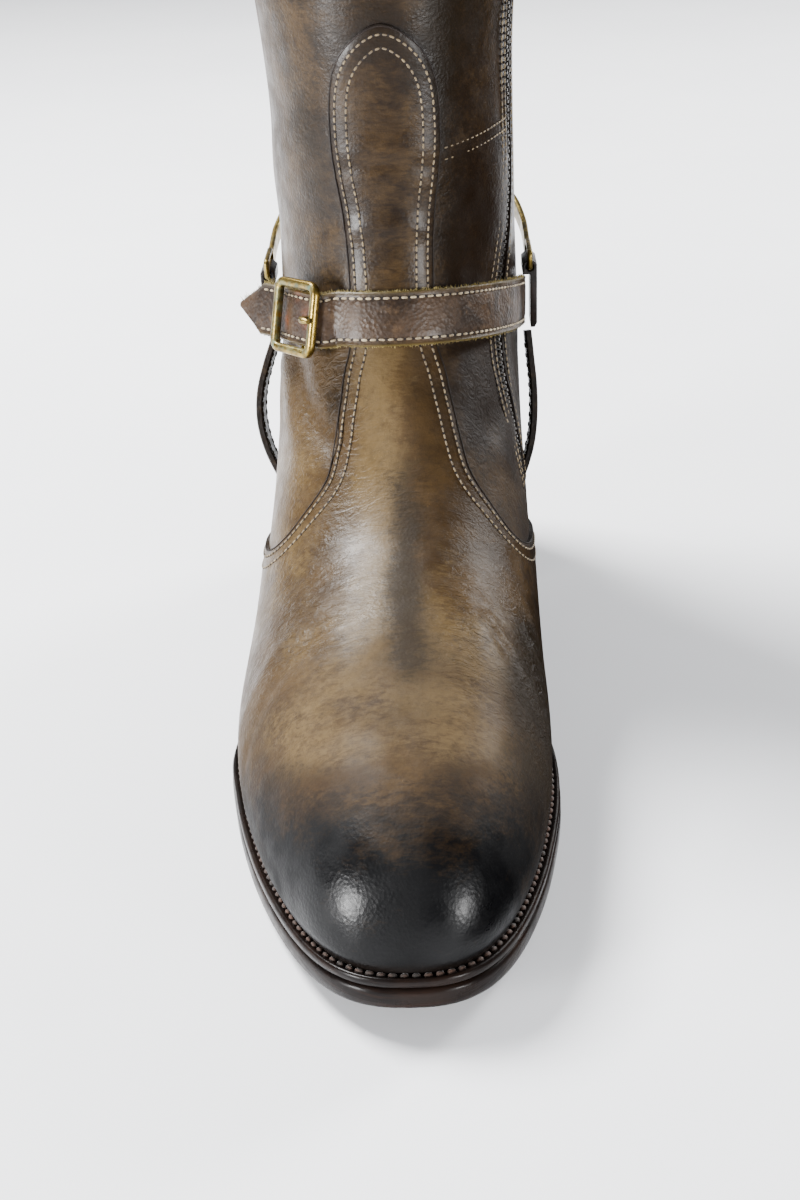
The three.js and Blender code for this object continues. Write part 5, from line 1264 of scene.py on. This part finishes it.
billet_stops = [(on_buckle(-2, BILLET_LIFT + GAP / 2), spot_across, half - 1)]
billet_stops += [stop(t, BILLET_LIFT, half - 1) for t in (-43, -50, -60, -72, -84, -TAB_TURN)]
billet_frames = frames_through(billet_stops, 70)
billet = Shape()
sweep(billet, billet_frames, lambda h: strap_profile(h, BILLET_THICKNESS, 0.6, groove=2.0))
edge_stitches(billet, billet_frames, BILLET_THICKNESS, 2.0, 26, 70, 81)
b = billet.make("buckle_strap_leather", [STRAP, CREAM, HOLE], slot="strap_leather", replaces=("buckle_strap",))
point_value(b, "edge", np.full(len(b.data.vertices), 0.15))


def rounded_rectangle(w, h, r, per=7):
    pts = []
    for cx, cy, start in ((w / 2 - r, h / 2 - r, 0), (-w / 2 + r, h / 2 - r, 90), (-w / 2 + r, -h / 2 + r, 180), (w / 2 - r, -h / 2 + r, 270)):
        for k in range(per):
            a = math.radians(start + 90 * k / (per - 1))
            pts.append((cx + r * math.cos(a), cy + r * math.sin(a)))
    return pts


def tube(shape, points, normals, profile, closed=False, mat=0):
    pts = np.asarray(points, float)
    t = np.gradient(pts, axis=0) if not closed else np.roll(pts, -1, 0) - np.roll(pts, 1, 0)
    frames = [(p, np.asarray(n, float), unit(np.cross(n, v)), 0.0) for p, n, v in zip(pts, normals, t)]
    sweep(shape, frames, lambda h: profile, closed_loop=closed, mat=mat)


frame_height = STRAP_WIDTH + 2 * BUCKLE_BAR + 1.2
ring = rounded_rectangle(BUCKLE_LENGTH - BUCKLE_BAR, frame_height - BUCKLE_BAR, 2.6, 8)
buckle = Shape()
tube(buckle, [on_buckle(a, FRAME_LIFT, d) for a, d in ring], [B_OUT] * len(ring), round_profile(BUCKLE_BAR / 2, BUCKLE_BAR / 2, 16, 2.6), True)
leg = frame_height / 2 - BUCKLE_BAR / 2
bar_line = [(-leg, FRAME_LIFT), (-leg, CENTRE_BAR_LIFT + 0.7), (-leg + 0.7, CENTRE_BAR_LIFT), (leg - 0.7, CENTRE_BAR_LIFT), (leg, CENTRE_BAR_LIFT + 0.7), (leg, FRAME_LIFT)]
tube(buckle, [on_buckle(0, o, d) for d, o in bar_line], [B_ALONG] * len(bar_line), round_profile(CENTRE_BAR / 2, CENTRE_BAR / 2, 10))
obj = buckle.make("buckle_frame_brass", [BRASS], slot="brass", replaces=("buckle_frame",), sharp=60)
patina = []
for v in obj.data.vertices:
    d = np.array(v.co) / MM - spot
    a, w = abs(d @ B_ALONG), abs(d @ B_DOWN)
    patina.append(0.7 * float(smoothstep(a, 5.5, 8.4) * smoothstep(w, 6.0, 8.8) * (a < 9.8 and w < 10.4)))
point_value(obj, "patina", patina)

rest = FRAME_LIFT + BUCKLE_BAR / 2 + GAP + PRONG / 2
PRONG_HOLE = -END_BAR * 0.55
prong_stops = [(PRONG_HOLE + 0.9, BILLET_LIFT + BILLET_THICKNESS / 2 + GAP + PRONG / 2), (PRONG_HOLE + 0.3, STRAP_UNDER + 0.6),
               (PRONG_HOLE - 0.5, rest - 1.6), (-END_BAR + 1.2, rest), (-END_BAR - 1.6, rest)]
prong_line = [catmull([on_buckle(a, o) for a, o in prong_stops], t)[0] for t in np.linspace(0, 1, 28)]
prong = Shape()
taper = [1.0 - 0.35 * float(smoothstep(t, 0.8, 1)) for t in np.linspace(0, 1, 28)]
tangents = np.gradient(np.array(prong_line), axis=0)
rows = []
for p, t, k in zip(prong_line, tangents, taper):
    t = unit(t)
    side = unit(np.cross(B_DOWN, t))
    rows.append([p + B_DOWN * (PRONG / 2 * k * math.cos(q)) + side * (PRONG / 2 * k * math.sin(q)) for q in np.arange(10) * math.pi / 5])
prong.rows(rows)
o = prong.make("buckle_prong_brass", [BRASS], slot="brass", replaces=("buckle_prong",), sharp=50)
point_value(o, "patina", np.full(len(o.data.vertices), 0.1))


def bevelled(node, name, material, width, body=BODY, segments=2):
    """A CAD node's own shape with its edges rounded."""
    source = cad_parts[node]
    mesh = source.data.copy()
    mesh.materials.clear()
    mesh.materials.append(material)
    bm = bmesh.new()
    bm.from_mesh(mesh)
    bmesh.ops.remove_doubles(bm, verts=bm.verts, dist=1e-6)
    bmesh.ops.dissolve_limit(bm, angle_limit=math.radians(4), verts=bm.verts, edges=bm.edges)
    sharp = [e for e in bm.edges if len(e.link_faces) == 2 and e.calc_face_angle(0) > math.radians(35)]
    bmesh.ops.bevel(bm, geom=sharp, offset=width * MM, segments=segments, profile=0.5, affect="EDGES", clamp_overlap=True)
    bmesh.ops.triangulate(bm, faces=[f for f in bm.faces if len(f.verts) > 4])
    bm.to_mesh(mesh)
    bm.free()
    mesh.shade_smooth()
    mesh.set_sharp_from_angle(angle=math.radians(40))
    for a in ("edge", "patina"):
        if a not in mesh.attributes:
            mesh.attributes.new(a, "FLOAT", "POINT")
    obj = bpy.data.objects.new(name, mesh)
    bpy.context.scene.collection.objects.link(obj)
    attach(obj, body)
    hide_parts(node)
    return obj


bevelled("inside_tab", "inside_tab_leather", TAB, 0.35)
bevelled("outside_tab", "outside_tab_leather", TAB, 0.35)
bevelled("zip_slider", "zip_slider_metal", ZIP, 0.3)
bevelled("zip_pull", "zip_pull_metal", ZIP, 0.3, PULL)


# Heel band
def tab_place(side):
    z = strap_height(TAB_Y)
    faces = [side_half(side, TAB_Y + i * TAB_WIDTH / 2, z + j * STRAP_WIDTH / 2) for i in (-1, 0, 1) for j in (-1, 0, 1)]
    return max(faces), z


TAB_PLACES = {s: tab_place(s) for s in (1, -1)}
TAB_OUTER = STANDOFF + STRAP_THICKNESS + 2 * GAP + TAB_THICKNESS
SHELF_UP = STRAP_WIDTH / 2 + 2 * GAP + STRAP_SLOPE * TAB_WIDTH / 2
loop_x = lambda s: s * (TAB_PLACES[s][0] + TAB_OUTER - 1.2 - GAP - LOOP_BAR / 2)
loop_z = lambda s: TAB_PLACES[s][1] + SHELF_UP + 1.2 + GAP + LOOP_BAR / 2
start_y = TAB_Y + TAB_WIDTH / 2 + 2
back_y = SOLE_BACK - HEEL_LEDGE + float(climb_back(loop_z(1) + BAND_RISE - SEAT)) + BAND_BACK_CLEARANCE
band_stops = []
for k in range(11):
    a = math.pi * k / 10
    s = 1 if a < math.pi / 2 else -1
    spread, out = abs(math.cos(a)) ** 0.8, math.sin(a) ** 0.9 if 0 < a < math.pi else 0.0
    bow = 2.5 * math.sin(2 * a) ** 2
    x, z = loop_x(s), loop_z(s) + 1.6
    band_stops.append((vec(x * spread + s * bow, start_y + (back_y - start_y) * out, z + BAND_RISE * out**1.2), vec(0, 0, 1), BAND_HEIGHT / 2))
band = Shape()
sweep(band, frames_through(band_stops, 130), lambda h: round_profile(BAND_THICKNESS / 2, h, 20, 5.0))
length = TAB_WIDTH + 2 * GAP + 2 * BAND_THICKNESS
front_y = start_y - length + BAND_THICKNESS / 2 + 0.4
for s in (1, -1):
    rect = rounded_rectangle(start_y - front_y, 5.2, 0.9, 4)
    mid = vec(loop_x(s), (start_y + front_y) / 2, loop_z(s) + 2.6)
    tube(band, [mid + vec(0, a, b) for a, b in rect], [vec(1, 0, 0)] * len(rect), round_profile(LOOP_BAR / 2, LOOP_BAR / 2, 10), True)
o = band.make("heel_band_brass", [BRASS], slot="brass", replaces=("heel_band",), sharp=50)
point_value(o, "patina", np.full(len(o.data.vertices), 0.12))

# Strap under the waist
uh = UNDER_STRAP_WIDTH / 2
lift_u = UNDER_STRAP_THICKNESS / 2 + GAP
y_low = -HEEL_LENGTH / 2 - uh - 3
z_fore, z_aft = float(underside(y_low - uh)), float(underside(y_low + uh))
z_under = (z_fore + z_aft) / 2
flat = unit(vec(0, 2 * uh, z_aft - z_fore))
sole_half = {s: max(float(outline((y_low + d - SOLE_TIP) / OUTSOLE_LENGTH, s, 0, 0)[1]) for d in (-uh, 0, uh)) for s in (1, -1)}


def wall_stops(s):
    top = TAB_PLACES[s][1] - SHELF_UP - 3 * GAP
    bottom = float(underside(y_low)) + FEATHER_UP
    out = []
    for t in (0, 0.14, 0.3, 0.46, 0.62, 0.78, 0.9):
        z, y = top + (bottom - top) * t, TAB_Y + (y_low - TAB_Y) * t
        faces = [side_half(s, y + d, max(z, float(underside(y + d)) + FEATHER_UP + 1)) + VAMP_RISE for d in (-uh, 0, uh)]
        sway = UNDER_STRAP_SWAY * (1 if s < 0 else 0.35) * math.sin(math.pi * min(t * 1.15, 1))
        x = max(*faces, sole_half[s]) + lift_u + 0.2 + sway
        out.append((vec(s * x, y, z), unit(vec(0, top - bottom, y_low - TAB_Y)), uh))
    return out


def edge_stops(s):
    out = []
    for far, up in ((2, SOLE_TOP - 2), (1.6, 2.5), (1.5, 0.3), (0.8, -1), (-1, -1.1)):
        z = z_under + (up if up > 0 else up * lift_u)
        out.append((vec(s * (sole_half[s] + far * lift_u), y_low, z), flat, uh))
    return out


def under_stops(s):
    return [(vec(s * sole_half[s] * k, y_low, z_under - 1.2 * lift_u), flat, uh) for k in (0.7, 0.35)]


all_stops = (wall_stops(1) + edge_stops(1) + under_stops(1) + under_stops(-1)[::-1] + edge_stops(-1)[::-1] + wall_stops(-1)[::-1])
under_frames = frames_through(all_stops, 200)
under = Shape()
sweep(under, under_frames, lambda h: strap_profile(h, UNDER_STRAP_THICKNESS, 0.6, groove=2.0))
edge_stitches(under, under_frames, UNDER_STRAP_THICKNESS, 2.0, 3, 198, 91, 1, 2, 3.4)
fibres(under, np.array([c + a * (h - 0.1) for c, n, a, h in under_frames]), [f[1] for f in under_frames], [f[2] for f in under_frames], 220, 1.1, 3, 95)
o = under.make("under_strap_leather", [UNDER, PALE, HOLE, FIBRE], slot="dark_leather", replaces=("under_strap",))

# Zip: tape inside, chain in the slot, teeth on it
def strip(path, width, low, high, columns=6):
    """A strip along the zip between two depths under the leather's face, from (y, z) points."""
    pts = np.asarray(path, float)
    t = np.gradient(pts, axis=0)
    t /= np.linalg.norm(t, axis=1, keepdims=True)
    rows = []
    for (y, z), (ty, tz) in zip(pts, t):
        row = []
        for w in np.linspace(-width / 2, width / 2, columns):
            p, n = side_hit(1, y - w * tz, z + w * ty)
            if p is None:
                row = None
                break
            row.append((p + n * high, p + n * low))
        if row:
            rows.append([a for a, _ in row] + [b for _, b in row[::-1]])
    return rows


fine_path = np.array([q for q in resample(np.c_[zip_path, np.zeros(len(zip_path))], 2.0)[:, :2] if q[1] < BOOT_HEIGHT - 1.5])
shape = Shape()
shape.rows(strip(fine_path, 5.2, -2.0, -1.0))
shape.make("zip_chain_cloth", [CLOTH], slot="zip_tape", replaces=("zip_chain",))
shape = Shape()
shape.rows(strip(fine_path, 23.0, -UPPER_WALL - 2 * GAP - 0.9, -UPPER_WALL - 2 * GAP))
shape.make("zip_tape_cloth", [CLOTH], slot="zip_tape", replaces=("zip_tape",))
teeth = Shape()
pts, ns = side_line(fine_path, 0.0)
pts, ns = resample(pts, 1.25, ns)
for i in range(1, len(pts) - 1):
    t, n = unit(pts[i + 1] - pts[i - 1]), unit(ns[i])
    b = unit(np.cross(n, t)) * (1 if i % 2 else -1)
    c = pts[i] - n * 0.75 + b * 0.75
    rows = []
    for k, (a, w) in enumerate(((-1.25, 0.55), (-0.95, 0.8), (0.6, 0.8), (1.15, 0.4))):
        rows.append([c + b * a * 1.2 + t * w * 0.52 * q + n * w * 0.75 * s for q, s in ((1, 1), (-1, 1), (-1, -1), (1, -1))])
    teeth.rows(rows)
teeth.make("zip_teeth", [ZIP], slot="zip_metal")
